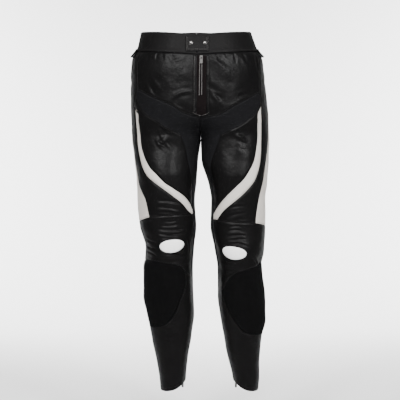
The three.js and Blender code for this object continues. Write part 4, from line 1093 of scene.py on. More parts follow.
def to_outline(points, faces):
    """Each point's distance to the nearest stretch of the outline, in millimetres."""
    ends = open_edges(faces)
    start, step = points[ends[:, 0]], points[ends[:, 1]] - points[ends[:, 0]]
    square_step = np.maximum((step ** 2).sum(axis=1), 1e-9)
    nearest = np.full(len(points), 1e9)
    for block in np.array_split(np.arange(len(points)), max(1, len(points) // 1500)):
        gap = points[block][:, None] - start[None]
        t = np.clip((gap * step).sum(axis=-1) / square_step, 0, 1)
        nearest[block] = np.linalg.norm(gap - t[..., None] * step, axis=-1).min(axis=1)
    return nearest


def shell(outer, inner, faces):
    """One closed mesh: the faces on the outer points, the same turned over on the inner points, and a
    strip between them along every open edge."""
    count = len(outer)
    ends = open_edges(faces)
    rim = np.concatenate([
        np.stack([ends[:, 1], ends[:, 0], ends[:, 0] + count], axis=1),
        np.stack([ends[:, 1], ends[:, 0] + count, ends[:, 1] + count], axis=1)])
    points = np.concatenate([outer, inner])
    return points, np.concatenate([faces, faces[:, ::-1] + count, rim])


def outward_faces(points, faces, normals):
    """The faces, turned round if they look against the outward normals."""
    a, b, c = points[faces[:, 0]], points[faces[:, 1]], points[faces[:, 2]]
    facing = (np.cross(b - a, c - a) * normals[faces[:, 0]]).sum()
    return faces if facing > 0 else faces[:, ::-1]


SHEETS = {}


def area_of(points, faces):
    """Area of the triangles in square metres."""
    a, b, c = (points[faces[:, k]] for k in range(3))
    return np.linalg.norm(np.cross(b - a, c - a), axis=1).sum() / 2 * METRES ** 2


def flat_size(side, places, area, grids):
    """Width and length of the smallest rectangle round the panel laid flat, where a place lies at its
    length across and its height. The rectangle is turned in steps to find the smallest. A curved strip
    fills little of it, so a strip gives its length along and its mean width."""
    x = (places[:, 0] - places[:, 0].mean()) * girth(side, places[:, 1])
    z = places[:, 1]
    best = None
    for angle in np.radians(np.arange(0, 90, 3)):
        w = np.ptp(x * np.cos(angle) + z * np.sin(angle)) * METRES
        h = np.ptp(z * np.cos(angle) - x * np.sin(angle)) * METRES
        if best is None or w * h < best[0] * best[1]:
            best = (w, h)
    w, h = best
    if area < 0.32 * w * h:
        h = sum(max(length_of(side, grid[:, 0]), length_of(side, grid[:, -1])) for grid in grids[:2])
        h *= METRES
        return 1.05 * area / h, h
    grow = max(1.0, math.sqrt(area * 1.02 / (w * h)))
    return w * grow, h * grow


def sewn_sheet(name, side, grids, material, nodes, base=0.0, roll=1.0, crease=1.0,
               swell=0.35, puff=0.0):
    """A thin shell on the worn form. base lifts its outer face, roll is how far it drops at a seam,
    swell how far it rises just before, and puff how far it stays up over the rest of the panel."""
    places, faces = weld(grids)
    across, height = places[:, 0], places[:, 1]
    smooth = form(side, across, height)
    normals = outward(side, across, height)
    faces = outward_faces(smooth, faces, normals)
    away = to_outline(smooth, faces)
    edge_drop = -roll * np.exp(-(away / 1.9) ** 2) + swell * np.exp(-((away - 6) / 3.5) ** 2)
    edge_drop += puff * (1 - np.exp(-(away / 11) ** 2))
    base_lift = base(across, height, away) if callable(base) else base
    calm = crease * (0.35 + 0.65 * smoothstep(away, 0, 9))
    relief = fold_lift(side, across, height) + calm * (
        crease_lift(side, across, height) + uneven_lift(smooth))
    outer = smooth + normals * (relief + base_lift + edge_drop)[:, None]
    inner = smooth + normals * (relief - WALL + edge_drop)[:, None]
    closing = pressed_together(side, outer)
    outer[:, 0] += closing
    inner[:, 0] += closing
    points, all_faces = shell(outer, inner, faces)
    inside = np.concatenate([np.zeros(len(outer)), np.ones(len(inner))])
    made = make_object(name, points, all_faces, material, attribute=inside)
    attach(made, BODY_NAME)
    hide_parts(*nodes)
    area = area_of(outer, faces)
    width, length = flat_size(side, places, area, grids)
    SHEETS[name] = (round(width, 3), round(length, 3), round(area, 4), len(all_faces))
    return made


BODY_NAME = "trousers"
print("helpers ready")

# %% Cloth and leather panels
FINISH = {
    "upper_front": (BLACK_LEATHER, "black_leather"), "hip_outer": (BLACK_LEATHER, "black_leather"),
    "thigh_front": (BLACK_LEATHER, "black_leather"), "knee": (BLACK_LEATHER, "black_leather"),
    "shin": (BLACK_LEATHER, "black_leather"), "seat": (BLACK_LEATHER, "black_leather"),
    "thigh_back": (BLACK_LEATHER, "black_leather"), "calf": (BLACK_LEATHER, "black_leather"),
    "front_stripe": (PALE_LEATHER, "off_white_leather"),
    "side_stripe": (PALE_LEATHER, "off_white_leather"),
    "stretch_front": (STRETCH, "stretch_knit"), "stretch_back": (STRETCH, "stretch_knit"),
    "knee_slider": (HOOK, "hook_panel"),
}


PUFF = {"thigh_front": 1.5, "seat": 1.0, "thigh_back": 1.0, "hip_outer": 0.5, "shin": 0.5}


def slider_base(across, height, away):
    """The foam under the hook panel lifts it, and its edge slopes down over a few millimetres."""
    return SLIDER_PROUD * smoothstep(away, -1, 5)


for side in SIDES:
    for name, grids in PANELS[side].items():
        material, slot_name = FINISH[name]
        padded_panel = name == "knee_slider"
        soft = name.startswith("stretch")
        sewn_sheet(f"{name}_fine_{side}", side, grids, material, [f"{name}_{side}"],
                   base=slider_base if padded_panel else 0.0,
                   roll=0.5 if padded_panel else 0.8 if soft else 1.0,
                   crease=0.25 if padded_panel else 0.6 if soft else 1.0, puff=PUFF.get(name, 0.0))
print(len(SHEETS), "sheets,", sum(row[3] for row in SHEETS.values()), "triangles")
print({name: row[:3] for name, row in SHEETS.items()})

# %% [markdown]
# ## Waistband
#
# The band is a doubled strip of leather in three pieces a side, so it is thicker than the panels and
# stands proud of them. Its top edge is folded over, and the front piece of the right side laps over
# the side piece with a rounded end. Each piece is a patch between the band seam and the rim.

# %% Waistband pieces
def band_grid(side, start, end):
    """The patch between two lines across the band, each given from the rim down to the band seam."""
    top = np.array([start[0], end[0]])
    foot = np.array([start[-1], end[-1]])
    share = np.linspace(0, 1, 40)
    rim_at = top[0, 0] + (top[1, 0] - top[0, 0]) * share
    foot_at = foot[0, 0] + (foot[1, 0] - foot[0, 0]) * share
    rim = np.stack([rim_at, waist_line(rim_at) + BAND_WIDTH / 2], axis=1)
    low = np.stack([foot_at, waist_line(foot_at) - BAND_WIDTH / 2], axis=1)
    columns = [cells(side, CELL["waistband"], rim, low)]
    rows = [cells(side, CELL["waistband"], start, end)]
    return fill(side, columns, rows, rim, low, start, end)


def across_band(side, name):
    """A line across the band from the rim to the band seam, ending exactly on both."""
    line = LINES[side][name]
    rim = waist_line(line[:, 0]) + BAND_WIDTH / 2
    low = rim - BAND_WIDTH
    kept = line[(line[:, 1] < rim) & (line[:, 1] > low)]
    first, last = kept[0], kept[-1]
    return np.concatenate([[[first[0], waist_line(first[0]) + BAND_WIDTH / 2]], kept,
                           [[last[0], waist_line(last[0]) - BAND_WIDTH / 2]]])


def up_and_down(at):
    """The straight line across the band at one share across."""
    middle = waist_line(at)
    return np.stack([np.full(12, float(at)), middle + np.linspace(1, -1, 12) * BAND_WIDTH / 2], axis=1)


for side in SIDES:
    ends = [up_and_down(0), across_band(side, "bandSide"), across_band(side, "bandBack"), up_and_down(1)]
    for name, start, end in zip(("front", "side", "back"), ends, ends[1:]):
        lap = 1.2 if name == "front" else 0.0
        sewn_sheet(f"waistband_{name}_fine_{side}", side, [band_grid(side, start, end)], BAND_LEATHER,
                   [f"waistband_{name}_{side}"], base=BAND_PROUD + lap, roll=0.9,
                   crease=0.5, swell=0.1)
print("band pieces", [name for name in SHEETS if name.startswith("waistband")])

# %% [markdown]
# ## What is sewn onto the front
#
# The waist tab, the fly and the two ovals lie flat on the panels. They are drawn as they look from the
# front, as places sideways and up, and each of those places is then looked up on the sheet, so every
# piece follows the leather under it.

# %% Looking up a place from the front
def share_at(side, x, height):
    """The share across whose point lies this far sideways, by halving the interval thirty times."""
    low, high = np.zeros(x.shape), np.full(x.shape, 0.45)
    want = SIDES[side] * (x - section_at(BODY, height)[0])
    for _ in range(30):
        middle = (low + high) / 2
        found = SIDES[side] * (form(side, middle, height)[..., 0] - section_at(BODY, height)[0])
        low, high = np.where(found < want, middle, low), np.where(found < want, high, middle)
    return (low + high) / 2


def front_points(x, height, lift):
    """Points of the sheet in front at these sideways places and heights, lifted by lift."""
    x, height, lift = np.broadcast_arrays(*(np.asarray(v, float) for v in (x, height, lift)))
    centre = section_at(BODY, height)[0]
    result = np.zeros(x.shape + (3,))
    for side in SIDES:
        here = (x < centre) == (side == "right")
        if here.any():
            across = share_at(side, x[here], height[here])
            result[here] = sheet_points(side, across, height[here], lift[here], crease=0.7)
    return result


def block(name, x, height, lift, thick, material, slot_name, nodes, turned=0.7):
    """A flat piece on the front over a grid of places. Its top is lifted by thick and sinks towards the
    outline by turned, and its back lies just over the leather."""
    rows, columns = x.shape
    index = np.arange(rows * columns).reshape(rows, columns)
    a, b, c, d = index[:-1, :-1], index[1:, :-1], index[1:, 1:], index[:-1, 1:]
    faces = np.stack([a, b, c, a, c, d], axis=-1).reshape(-1, 3)
    back = front_points(x, height, lift).reshape(-1, 3)
    faces = outward_faces(back, faces, np.tile([0.0, -1.0, 0.0], (len(back), 1)))
    away = to_outline(back, faces)
    front = front_points(x, height, lift + thick - turned * np.exp(-(away.reshape(x.shape) / 1.3) ** 2))
    points, all_faces = shell(front.reshape(-1, 3), back, faces)
    made = make_object(name, points, all_faces, material)
    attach(made, BODY_NAME)
    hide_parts(*nodes)
    area = area_of(front.reshape(-1, 3), faces)
    width, length = np.ptp(x) * METRES, np.ptp(height) * METRES
    SHEETS[name] = (round(width, 3), round(length, 3), round(area, 5), len(all_faces))
    return made


def rounded_grid(left, right, low, high, corner, step=1.0):
    """Places of a rectangle whose corners are pulled in towards circles of the given radius."""
    x, z = np.meshgrid(np.linspace(left, right, max(3, round((right - left) / step))),
                       np.linspace(high, low, max(3, round((high - low) / step))))
    cx, cz = (left + right) / 2, (low + high) / 2
    u, v = (x - cx) / ((right - left) / 2), (z - cz) / ((high - low) / 2)
    over_x = np.clip(np.abs(x - cx) - ((right - left) / 2 - corner), 0, None) / corner
    over_z = np.clip(np.abs(z - cz) - ((high - low) / 2 - corner), 0, None) / corner
    both = np.maximum(over_x, over_z)
    shrink = np.where(both > 0, both / np.maximum(np.hypot(over_x, over_z), 1e-9), 1)
    pull_x = np.sign(u) * np.where(over_z > 0, over_x * (shrink - 1), 0) * corner
    pull_z = np.sign(v) * np.where(over_x > 0, over_z * (shrink - 1), 0) * corner
    return x + pull_x, z + pull_z


TAB = {"left": -38, "right": 27, "low": -40, "high": 5}
x, z = rounded_grid(TAB["left"], TAB["right"], TAB["low"], TAB["high"], 4.0)
block("waist_tab_fine", x, z, BAND_PROUD + 1.4, 2.6, BAND_LEATHER, "black_leather", ["waist_tab"],
      turned=1.3)
print("waist tab", SHEETS["waist_tab_fine"])

# %% [markdown]
# ## The fly
#
# A heavy zip closes the front under the tab. It lies in a channel between two folded edges of leather,
# with its tape showing on each side of the teeth. The teeth are small bright blocks, alternately from
# the left and from the right, repeated down the chain.

# %% Fly edges and tape
FLY = {"centre": 5.5, "top": -51.0, "low": -214.0, "zip_low": -160.0, "edge": 9.0, "tape": 27.0}
edge_middle = FLY["tape"] / 2 + FLY["edge"] / 2 + 0.3
for side, sign in SIDES.items():
    middle = FLY["centre"] + sign * edge_middle
    height = np.linspace(FLY["top"], FLY["low"], 82)[:, None]
    slack = 0.7 * np.sin(height / 17 + sign) + 0.4 * np.sin(height / 7)
    x = middle + slack + np.linspace(-1, 1, 9)[None, :] * FLY["edge"] / 2
    x, z = np.broadcast_arrays(x, height)
    block(f"fly_edge_fine_{side}", x, z, 0.4, 2.4, BLACK_LEATHER, "black_leather",
          [f"fly_edge_{side}"], turned=1.3)
x, z = np.meshgrid(FLY["centre"] + np.linspace(-1, 1, 24) * FLY["tape"] / 2,
                   np.linspace(FLY["top"], FLY["low"], 110))
block("fly_tape_fine", x, z, 1.0, 0.6, TAPE, "zip_tape", ["fly_tape"], turned=0.2)
print("fly edges", SHEETS["fly_edge_fine_left"])


# %% Boxes repeated along a path
def boxes_along(points, along, out, size, taper=0.75):
    """A box at each point: its length follows the path, its height the outward normal, and its top is
    narrower by taper. All boxes make one mesh."""
    side_way = unit(np.cross(along, out))
    length, width, height = (np.asarray(value, float) / 2 for value in size)
    corner = np.array([[x, y, z] for z in (-1, 1) for y in (-1, 1) for x in (-1, 1)], float)
    scale = np.where(corner[:, 2:] > 0, taper, 1.0)
    local = corner[:, :2] * scale
    vertices = (points[:, None]
                + along[:, None] * (local[None, :, :1] * length)
                + side_way[:, None] * (local[None, :, 1:2] * width)
                + out[:, None] * (corner[None, :, 2:] * height))
    quads = np.array([[0, 2, 3, 1], [4, 5, 7, 6], [0, 1, 5, 4], [1, 3, 7, 5], [3, 2, 6, 7], [2, 0, 4, 6]])
    first = 8 * np.arange(len(points))[:, None, None]
    faces = (quads[None] + first).reshape(-1, 4)
    box, centre = vertices[0], vertices[0].mean(axis=0)
    a, b, c = (box[quads[0][k]] for k in range(3))
    if np.dot(np.cross(b - a, c - a), box[quads[0]].mean(axis=0) - centre) < 0:
        faces = faces[:, ::-1]
    return vertices.reshape(-1, 3), faces


def piece(name, points, faces, material, nodes=(), angle=35):
    """A finished small piece that rides with the trousers."""
    made = make_object(name, points, faces, material, smooth_angle=angle)
    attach(made, BODY_NAME)
    if nodes:
        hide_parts(*nodes)
    return made


TOOTH_PITCH = 2.6
UNDER_FLY_SLIDER = 4
rows = np.arange(FLY["zip_low"], FLY["top"] - UNDER_FLY_SLIDER, TOOTH_PITCH)
column = np.tile([-1.0, 1.0], len(rows))
height = np.repeat(rows, 2) + np.tile([0, TOOTH_PITCH / 2], len(rows))
tooth_x = FLY["centre"] - 1 + column * 2.5
points = front_points(tooth_x, height, 2.2)
along = np.tile([0.0, 0.0, 1.0], (len(points), 1))
out = np.tile([0.0, -1.0, 0.0], (len(points), 1))
vertices, faces = boxes_along(points, along, out, (1.4, 2.4, 1.6))
piece("fly_teeth", vertices, faces, NICKEL, ["fly_chain"])
print("teeth on the fly:", len(points))
for name in ("fly_slider", "fly_pull", "calf_slider_right", "calf_slider_left", "calf_pull_right",
             "calf_pull_left"):
    for material_slot in bpy.data.objects[name].material_slots:
        material_slot.material = GUNMETAL

# %% [markdown]
# ## Snaps and ovals
#
# The two snaps are spun metal caps with a rolled rim, which is a profile turned about its axis. The
# ovals on the knees are plain white patches, thin and slightly domed, so each is a disc of rings that
# is laid on the sheet.

# %% Snaps
def turned(profile, count, place, out):
    """A profile of (radius, height) rows spun about the outward direction at a place."""
    angle = np.linspace(0, 2 * np.pi, count, endpoint=False)
    up = unit(np.array([0.0, 0.0, 1.0]) - out * out[2])
    right = np.cross(up, out)
    radius, height = profile[:, 0][:, None], profile[:, 1][:, None]
    points = (place + right * (radius * np.cos(angle))[..., None] + up * (radius * np.sin(angle))[..., None]
              + out * (height * np.ones(count))[..., None]).reshape(-1, 3)
    index = np.arange(len(profile) * count).reshape(len(profile), count)
    after = np.roll(index, -1, axis=1)
    faces = np.stack([index[:-1], after[:-1], after[1:], index[1:]], axis=-1).reshape(-1, 4)
    return points, faces


SNAP_X = {"right": -22.5, "left": 15.5}
CAP = {"radius": 5.7, "rim": 0.55, "dome": 4.6, "seat": 0.8, "rise": 1.8}
half_turn, quarter_turn = np.linspace(0, np.pi, 7), np.linspace(0, np.pi / 2, 9)
rim = np.stack([CAP["radius"] - CAP["rim"] + CAP["rim"] * np.sin(half_turn),
                CAP["rim"] - CAP["rim"] * np.cos(half_turn)], axis=1)
dome = np.stack([CAP["dome"] * np.cos(quarter_turn),
                 CAP["seat"] + CAP["rise"] * np.sin(quarter_turn)], axis=1)
dome[-1, 0] = 0.02
profile = np.concatenate([[[0.02, 0]], rim, dome])
for name, x in SNAP_X.items():
    seat = front_points(x, -16.0, BAND_PROUD + 1.4 + 2.5)
    near = front_points(np.array([x - 4, x + 4.0]), -16.0, 4.0)
    tall = front_points(x, np.array([-20.0, -12.0]), 4.0)
    out = unit(np.cross(near[1] - near[0], tall[1] - tall[0]))
    points, faces = turned(profile, 40, seat, out)
    piece(f"snap_fine_{name}", points, faces, SHADED_NICKEL, [f"snap_{name}"], angle=40)
print("snap seat", np.round(seat, 1))

# %% Oval patches
OVAL = {"width": 66, "height": 35, "taper": 0.12}
OVALS = {"right": (0.232, -577.0, -8), "left": (0.21, -596.0, -9)}
for side, (across, height, tilt) in OVALS.items():
    scale = float(girth(side, np.array(height)))
    ring = np.concatenate([np.linspace(0, 0.9, 12), [0.94, 0.97, 0.99, 1.0]])
    angle = np.linspace(0, 2 * np.pi, 64, endpoint=False)
    x = OVAL["width"] / 2 * ring[:, None] * np.cos(angle)
    z = OVAL["height"] / 2 * ring[:, None] * np.sin(angle)
    x = x * (1 + OVAL["taper"] * z / (OVAL["height"] / 2))
    c, s = math.cos(math.radians(tilt)), math.sin(math.radians(tilt))
    u, v = across + (x * c - z * s) / scale, height + x * s + z * c
    crown = 3.4 + 0.9 * (1 - ring[:, None] ** 2) - 1.4 * smoothstep(ring, 0.9, 1.0)[:, None]
    top = sheet_points(side, u, v, crown + 0 * u, crease=0.0)
    low = sheet_points(side, u, v, 0.0 * u - 0.5, crease=0.0)
    index = np.arange(top.shape[0] * 64).reshape(-1, 64)
    after = np.roll(index, -1, axis=1)
    quads = np.stack([index[:-1], after[:-1], after[1:], index[1:]], axis=-1).reshape(-1, 4)
    triangles = np.concatenate([quads[:, :3], quads[:, [0, 2, 3]]])
    flat, welded = np.unique(np.round(top.reshape(-1, 3), 4), axis=0, return_inverse=True)
    triangles = welded.reshape(-1)[triangles]
    solid = (triangles[:, 0] != triangles[:, 1]) & (triangles[:, 0] != triangles[:, 2])
    solid &= triangles[:, 1] != triangles[:, 2]
    triangles = triangles[solid]
    below = np.zeros_like(flat)
    below[welded.reshape(-1)] = low.reshape(-1, 3)
    normal = outward(side, np.full(len(flat), across), np.full(len(flat), height))
    triangles = outward_faces(flat, triangles, normal)
    points, faces = shell(flat, below, triangles)
    patch = piece(f"knee_patch_fine_{side}", points, faces, PRINT, [f"knee_patch_{side}"],
                  angle=60)
    area = area_of(flat, triangles)
    flat_oval = (round(OVAL["width"] * METRES, 4), round(OVAL["height"] * METRES, 4))
    SHEETS[patch.name] = (*flat_oval, round(area, 5), len(faces))
print("ovals", list(OVALS))

# %% [markdown]
# ## The connecting zip's guard flap and the calf zips
#
# Round the back of the waist hangs a narrow flap that guards the zip to a jacket. It is sewn in under
# the band and stands off below. Up the inner back of each calf runs a zip that opens the hem.

# %% Guard flap
for side in SIDES:
    across = np.linspace(5 / 12, 1, 120)[None, :]
    down = np.linspace(0, 1, 13)[:, None]
    height = waist_line(across) - BAND_WIDTH / 2 + 6 - 24 * down
    wave = 1.6 * np.sin(across * 34 + 2) * down
    stand = 2.6 + 4.6 * down ** 1.3 + wave * 0.8
    across, height = np.broadcast_arrays(across, height)
    top = sheet_points(side, across, height, stand + 2.0 - 0.8 * down ** 8, crease=0.3)
    low = sheet_points(side, across, height, stand, crease=0.3)
    index = np.arange(across.size).reshape(across.shape)
    a, b, c, d = index[:-1, :-1], index[1:, :-1], index[1:, 1:], index[:-1, 1:]
    faces = np.stack([a, b, c, a, c, d], axis=-1).reshape(-1, 3)
    normals = outward(side, across, height).reshape(-1, 3)
    faces = outward_faces(top.reshape(-1, 3), faces, normals)
    points, all_faces = shell(top.reshape(-1, 3), low.reshape(-1, 3), faces)
    flap = piece(f"zip_flap_fine_{side}", points, all_faces, BLACK_LEATHER,
                 [f"zip_flap_{side}"], angle=50)
    area = area_of(top.reshape(-1, 3), faces)
    length = area / 0.025
    SHEETS[flap.name] = (0.026, round(length, 3), round(area, 4), len(all_faces))
print("guard flap", SHEETS["zip_flap_fine_left"])

# %% Calf zips
CALF_ZIP = {"across": 0.858, "half": 0.016, "top": -785.0, "first_tooth": 9}
for side in SIDES:
    share = np.linspace(0, 1, 100)[:, None]
    u = CALF_ZIP["across"] + np.linspace(-1, 1, 9)[None, :] * CALF_ZIP["half"]
    z = CALF_ZIP["top"] + (hem_line(u) - CALF_ZIP["top"]) * share
    u, z = np.broadcast_arrays(u, z)
    top, low = sheet_points(side, u, z, 1.1), sheet_points(side, u, z, 0.2)
    index = np.arange(u.size).reshape(u.shape)
    a, b, c, d = index[:-1, :-1], index[1:, :-1], index[1:, 1:], index[:-1, 1:]
    faces = np.stack([a, b, c, a, c, d], axis=-1).reshape(-1, 3)
    faces = outward_faces(top.reshape(-1, 3), faces, outward(side, u, z).reshape(-1, 3))
    points, all_faces = shell(top.reshape(-1, 3), low.reshape(-1, 3), faces)
    tape = piece(f"calf_tape_fine_{side}", points, all_faces, TAPE, [f"calf_zip_{side}"])
    area = area_of(top.reshape(-1, 3), faces)
    length = float(np.linalg.norm(np.diff(top[:, 4], axis=0), axis=1).sum()) * METRES
    SHEETS[tape.name] = (round(area / length, 3), round(length, 3), round(area, 5), len(all_faces))
    low_end = float(hem_line(CALF_ZIP["across"])) + CALF_ZIP["first_tooth"]
    height = np.arange(low_end, CALF_ZIP["top"] - 3, 1.1)
    column = np.where(np.arange(len(height)) % 2, 1.0, -1.0)
    shift = column * 1.1 / girth(side, height)
    points = sheet_points(side, CALF_ZIP["across"] + shift, height, 1.7)
    out = outward(side, np.full(len(height), CALF_ZIP["across"]), height)
    along = unit(np.gradient(sheet_points(side, np.full(len(height), CALF_ZIP["across"]), height, 0.0,
                                          crease=0), axis=0))
    vertices, faces = boxes_along(points, along, out, (1.2, 2.6, 1.3))
    piece(f"calf_teeth_{side}", vertices, faces, NICKEL)
print("calf zip", SHEETS["calf_tape_fine_left"])

# %% [markdown]
# ## Stitches
#
# Every seam is topstitched: a row of thread on each side of it, about three millimetres off. A stitch
# is a short spindle whose ends sink into the leather. One side's stitches are joined into one mesh.
# The rows round the tab and down the fly are of a paler thread, its grey partly painted highlight; the black
# rows are a little lighter than the leather as painted glint.

# %% Stitch helpers
def spindles(points, along, out, length=2.9, radius=0.34):
    """A six-sided spindle at each point, thick in the middle and thin at its ends, which sink."""
    side_way = unit(np.cross(along, out))
    places = np.array([-1.0, -0.6, 0.6, 1.0]) * length / 2
    radii = np.array([0.35, 1.0, 1.0, 0.35]) * radius
    sink = np.array([-1.1, 0.0, 0.0, -1.1]) * radius
    angle = np.linspace(0, 2 * np.pi, 6, endpoint=False)
    vertices = (points[:, None, None]
                + along[:, None, None] * places[:, None, None]
                + side_way[:, None, None] * (radii[:, None] * np.cos(angle))[..., None]
                + out[:, None, None] * (sink[:, None] + radii[:, None] * np.sin(angle))[..., None])
    ring = np.arange(24).reshape(4, 6)
    after = np.roll(ring, -1, axis=1)
    walls = np.concatenate([np.stack([ring[:-1], after[:-1], after[1:]], axis=-1).reshape(-1, 3),
                            np.stack([ring[:-1], after[1:], ring[1:]], axis=-1).reshape(-1, 3)])
    fan = np.array([[0, k + 1, k] for k in range(1, 5)])
    one = np.concatenate([walls, fan, fan[:, ::-1] + 18])
    local = vertices[0].reshape(-1, 3)
    middle = local.mean(axis=0)
    a, b, c = (local[one[0, k]] for k in range(3))
    if np.dot(np.cross(b - a, c - a), (a + b + c) / 3 - middle) < 0:
        one = one[:, ::-1]
    faces = (one[None] + 24 * np.arange(len(points))[:, None, None]).reshape(-1, 3)
    return vertices.reshape(-1, 3), faces


def beside(side, line, distance, pitch=4.0):
    """Places a distance to the left of a line of places, one stitch apart, and its own direction."""
    line = even(side, line, max(2, round(length_of(side, line) / pitch)))
    scale = girth(side, line[:, 1])
    step = np.gradient(np.stack([line[:, 0] * scale, line[:, 1]], axis=1), axis=0)
    step = unit(step)
    return np.stack([line[:, 0] - step[:, 1] * distance / scale, line[:, 1] + step[:, 0] * distance],
                    axis=1)[1:-1]


def stitch_row(side, places, lift=0.0):
    """Points, directions and outward normals of a row of stitches on the sheet."""
    across, height = places[:, 0], places[:, 1]
    points = sheet_points(side, across, height, lift + 0.1, crease=0.5)
    return points, unit(np.gradient(points, axis=0)), outward(side, across, height)


def sew(name, rows, material, slot_name, **size):
    """All the rows' stitches as one mesh."""
    points, along, out = (np.concatenate(part) for part in zip(*rows))
    vertices, faces = spindles(points, along, out, **size)
    piece(name, vertices, faces, material, angle=70)
    print(name, len(points), "stitches")


# %% Topstitching along the seams
# line, first corner, last corner, distances to its left (less than nothing is to its right)
SEAM_ROWS = [
    ("vee", "vee_side", "vee_centre", (2.8, -2.8)),
    ("thighTop", "crotch_front", "top_side", (2.8, -2.8)),
    ("hipFront", "band_hip", "stripe_top", (2.8, -2.8)),
    ("stripeInner", "stripe_top", "stripe_in", (2.8, -2.8)),
    ("stripeOuter", "stripe_top", "stripe_out", (2.8, -2.8)),
    ("kneeTopInner", "knee_inner", "knee_front", (2.8, -2.8)),
    ("kneeTopOuter", "knee_front", "knee_back", (2.8, -2.8)),
    ("sideFront", "side_top", "knee_front", (2.8, -2.8)),
    ("hipBack", "band_seat", "knee_back", (2.8, -2.8)),
    ("neckInner", "neck_inner", "slider_inner", (2.8, -2.8)),
    ("neckOuter", "slider_high", "neck_side", (2.8, -2.8)),
    ("sliderTop", "slider_inner", "slider_high", (3.2,)),
    ("sliderInner", "slider_inner", "slider_low", (-3.2,)),
    ("sliderOuter", "slider_high", "slider_low", (3.2,)),
    ("sideSeam", "neck_side", "hem_side", (2.8, -2.8)),
    ("seatFold", "fold_out", "fold_in", (2.8, -2.8)),
    ("kneeBack", "knee_back_side", "knee_back_inner", (2.8, -2.8)),
    ("inseamBack", "seat_centre", "inseam_back_low", (2.8,)),
    ("back", "band_back", "seat_centre", (2.8,)),
    ("hem", "hem_front", "hem_side", (9.0,)),
    ("hem", "hem_side", "hem_back", (9.0,)),
]
for side in SIDES:
    corner = corner_places(side)
    rows = []
    for name, first, last, distances in SEAM_ROWS:
        seam = stretch_of(side, name, corner[first], corner[last])
        for distance in distances:
            rows.append(stitch_row(side, beside(side, seam, distance)))
    sew(f"stitches_{side}", rows, BLACK_THREAD_PAINTED_GLINT, "black_leather")

# %% Rows on the band, the tab and the fly
for side in SIDES:
    share = np.linspace(0.09 if side == "left" else 0.1, 0.97, 230)
    rows = []
    for above in (-BAND_WIDTH / 2 + 3.5, BAND_WIDTH / 2 - 3.5):
        rows.append(stitch_row(side, np.stack([share, waist_line(share) + above], axis=1), BAND_PROUD + 0.9))
    sew(f"band_stitches_{side}", rows, BLACK_THREAD_PAINTED_GLINT, "black_leather")


def front_row(x, height, lift):
    """Points, directions and normals of a row on the front, given as places sideways and up."""
    points = front_points(x, height, lift)
    return points, unit(np.gradient(points, axis=0)), np.tile([0.0, -1.0, 0.0], (len(points), 1))


def square_row(left, right, low, high, pitch):
    """Places round a rectangle, one stitch apart, from its upper left corner down."""
    across, down = round((right - left) / pitch), round((high - low) / pitch)
    x = np.concatenate([np.full(down, left), np.linspace(left, right, across, endpoint=False),
                        np.full(down, right)])
    z = np.concatenate([np.linspace(high, low, down, endpoint=False), np.full(across, low),
                        np.linspace(low, high, down)])
    return x, z


rows = []
for inset in (3.2, 6.6):
    x, z = square_row(TAB["left"] + inset, TAB["right"] - inset, TAB["low"] + inset, TAB["high"] - inset,
                      3.3)
    rows.append(front_row(x, z, BAND_PROUD + 1.4 + 2.6))
sew("tab_stitches", rows, GREY_THREAD_PAINTED_HIGHLIGHT, "black_leather", length=1.9, radius=0.32)
height = np.linspace(FLY["top"] - 2, FLY["low"] + 12, 32)
arc = np.linspace(-1, 1, 14)
rows = [front_row(np.full(32, FLY["centre"] - edge_middle - 1.5), height, 2.7),
        front_row(FLY["centre"] - 1 + 21 * arc, FLY["low"] + 7 * arc ** 2, 2.8)]
sew("fly_stitches", rows, GREY_THREAD_PAINTED_HIGHLIGHT, "black_leather", length=2.4, radius=0.5)
rows = [front_row(np.full(32, FLY["centre"] + edge_middle + 1.5), height, 2.7)]
sew("fly_stitches_dark", rows, BLACK_THREAD_PAINTED_GLINT, "black_leather", length=2.6)

# %% [markdown]
# ## Floor and light
#
# Black leather shows its form by what it reflects. Two soft panels above the camera, one on each side
# of it, draw highlights down the middle of the legs, a wide one overhead lights the folds from above,
# and the pale surroundings fill the rest. The floor curves up behind the garment, so that no horizon shows.

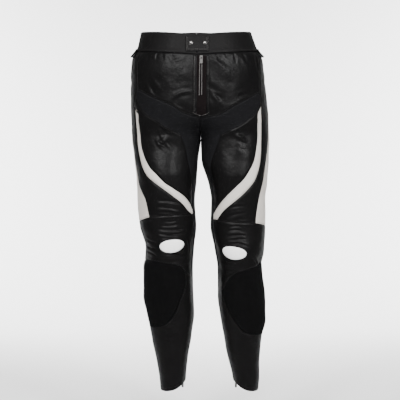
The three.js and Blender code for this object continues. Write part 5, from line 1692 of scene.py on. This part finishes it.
# %% Studio
def sweep(width, near, far, bend, top, floor):
    """A floor that turns up into a wall: straight, then a quarter circle, then straight up."""
    angle = np.linspace(0, np.pi / 2, 24)
    y = np.concatenate([[near], far - bend + bend * np.sin(angle), [far]])
    z = np.concatenate([[floor], floor + bend - bend * np.cos(angle), [top]])
    profile = np.stack([y, z], axis=1)
    left = np.column_stack([np.full(len(profile), -width / 2), profile])
    right = np.column_stack([np.full(len(profile), width / 2), profile])
    a = np.arange(len(profile) - 1)
    faces = np.stack([a, a + len(profile), a + len(profile) + 1, a + 1], axis=1)
    return np.concatenate([left, right]), faces


PAPER, _, _ = new_material("studio paper", (0.85, 0.85, 0.85), 1.0, specular=0.0)
points, faces = sweep(16, -6, 4, 1.5, 6, -1.12)
floor = make_object("studio_floor", points / METRES, faces, PAPER)


def area_light(name, place, aim, size, power, spread=180):
    """A rectangular soft light that faces a point. A grid on it narrows its beam to the spread."""
    data = bpy.data.lights.new(name, "AREA")
    data.shape = "RECTANGLE"
    data.size, data.size_y = size
    data.energy = power
    data.spread = math.radians(spread)
    light = bpy.data.objects.new(name, data)
    direction = np.array(aim) - np.array(place)
    yaw = math.atan2(direction[1], direction[0]) - math.pi / 2
    pitch = math.atan2(direction[2], math.hypot(direction[0], direction[1]))
    light.location = place
    light.rotation_euler = (pitch + math.pi / 2, 0, yaw)
    bpy.context.scene.collection.objects.link(light)
    return light


area_light("left panel", (-1.1, -3.0, 1.3), (0, 0, -0.44), (0.4, 0.7), 9.5, spread=46)
area_light("right panel", (1.5, -2.8, 1.1), (0, 0, -0.44), (0.4, 0.7), 9, spread=46)
area_light("overhead", (0, -1.9, 1.5), (0, 0, -0.34), (1.0, 0.4), 5.5, spread=60)
area_light("back", (0.6, 2.8, 1.9), (0, 0, -0.4), (1.4, 0.9), 6, spread=70)
area_light("floor wash", (0, 1.6, 2.6), (0, 1.2, -1.1), (2.0, 1.2), 60, spread=120)
for turn in (-1, 1):
    area_light("backdrop", (3.4 * turn, 2.2, 1.0), (0.4 * turn, 4, -0.4), (1.4, 1.8), 190, spread=100)
world = bpy.data.worlds.new("studio")
world.use_nodes = True
world.node_tree.nodes["Background"].inputs["Color"].default_value = (1, 1, 1, 1)
world.node_tree.nodes["Background"].inputs["Strength"].default_value = 0.3
bpy.context.scene.world = world

# %% Sizes and finish
triangles = {made.name: sum(len(face.vertices) - 2 for face in made.data.polygons)
             for made in bpy.data.objects if made.type == "MESH" and "_" in made.name}
largest = sorted(triangles.items(), key=lambda row: -row[1])[:4]
print("most triangles", largest, "all", sum(triangles.values()))
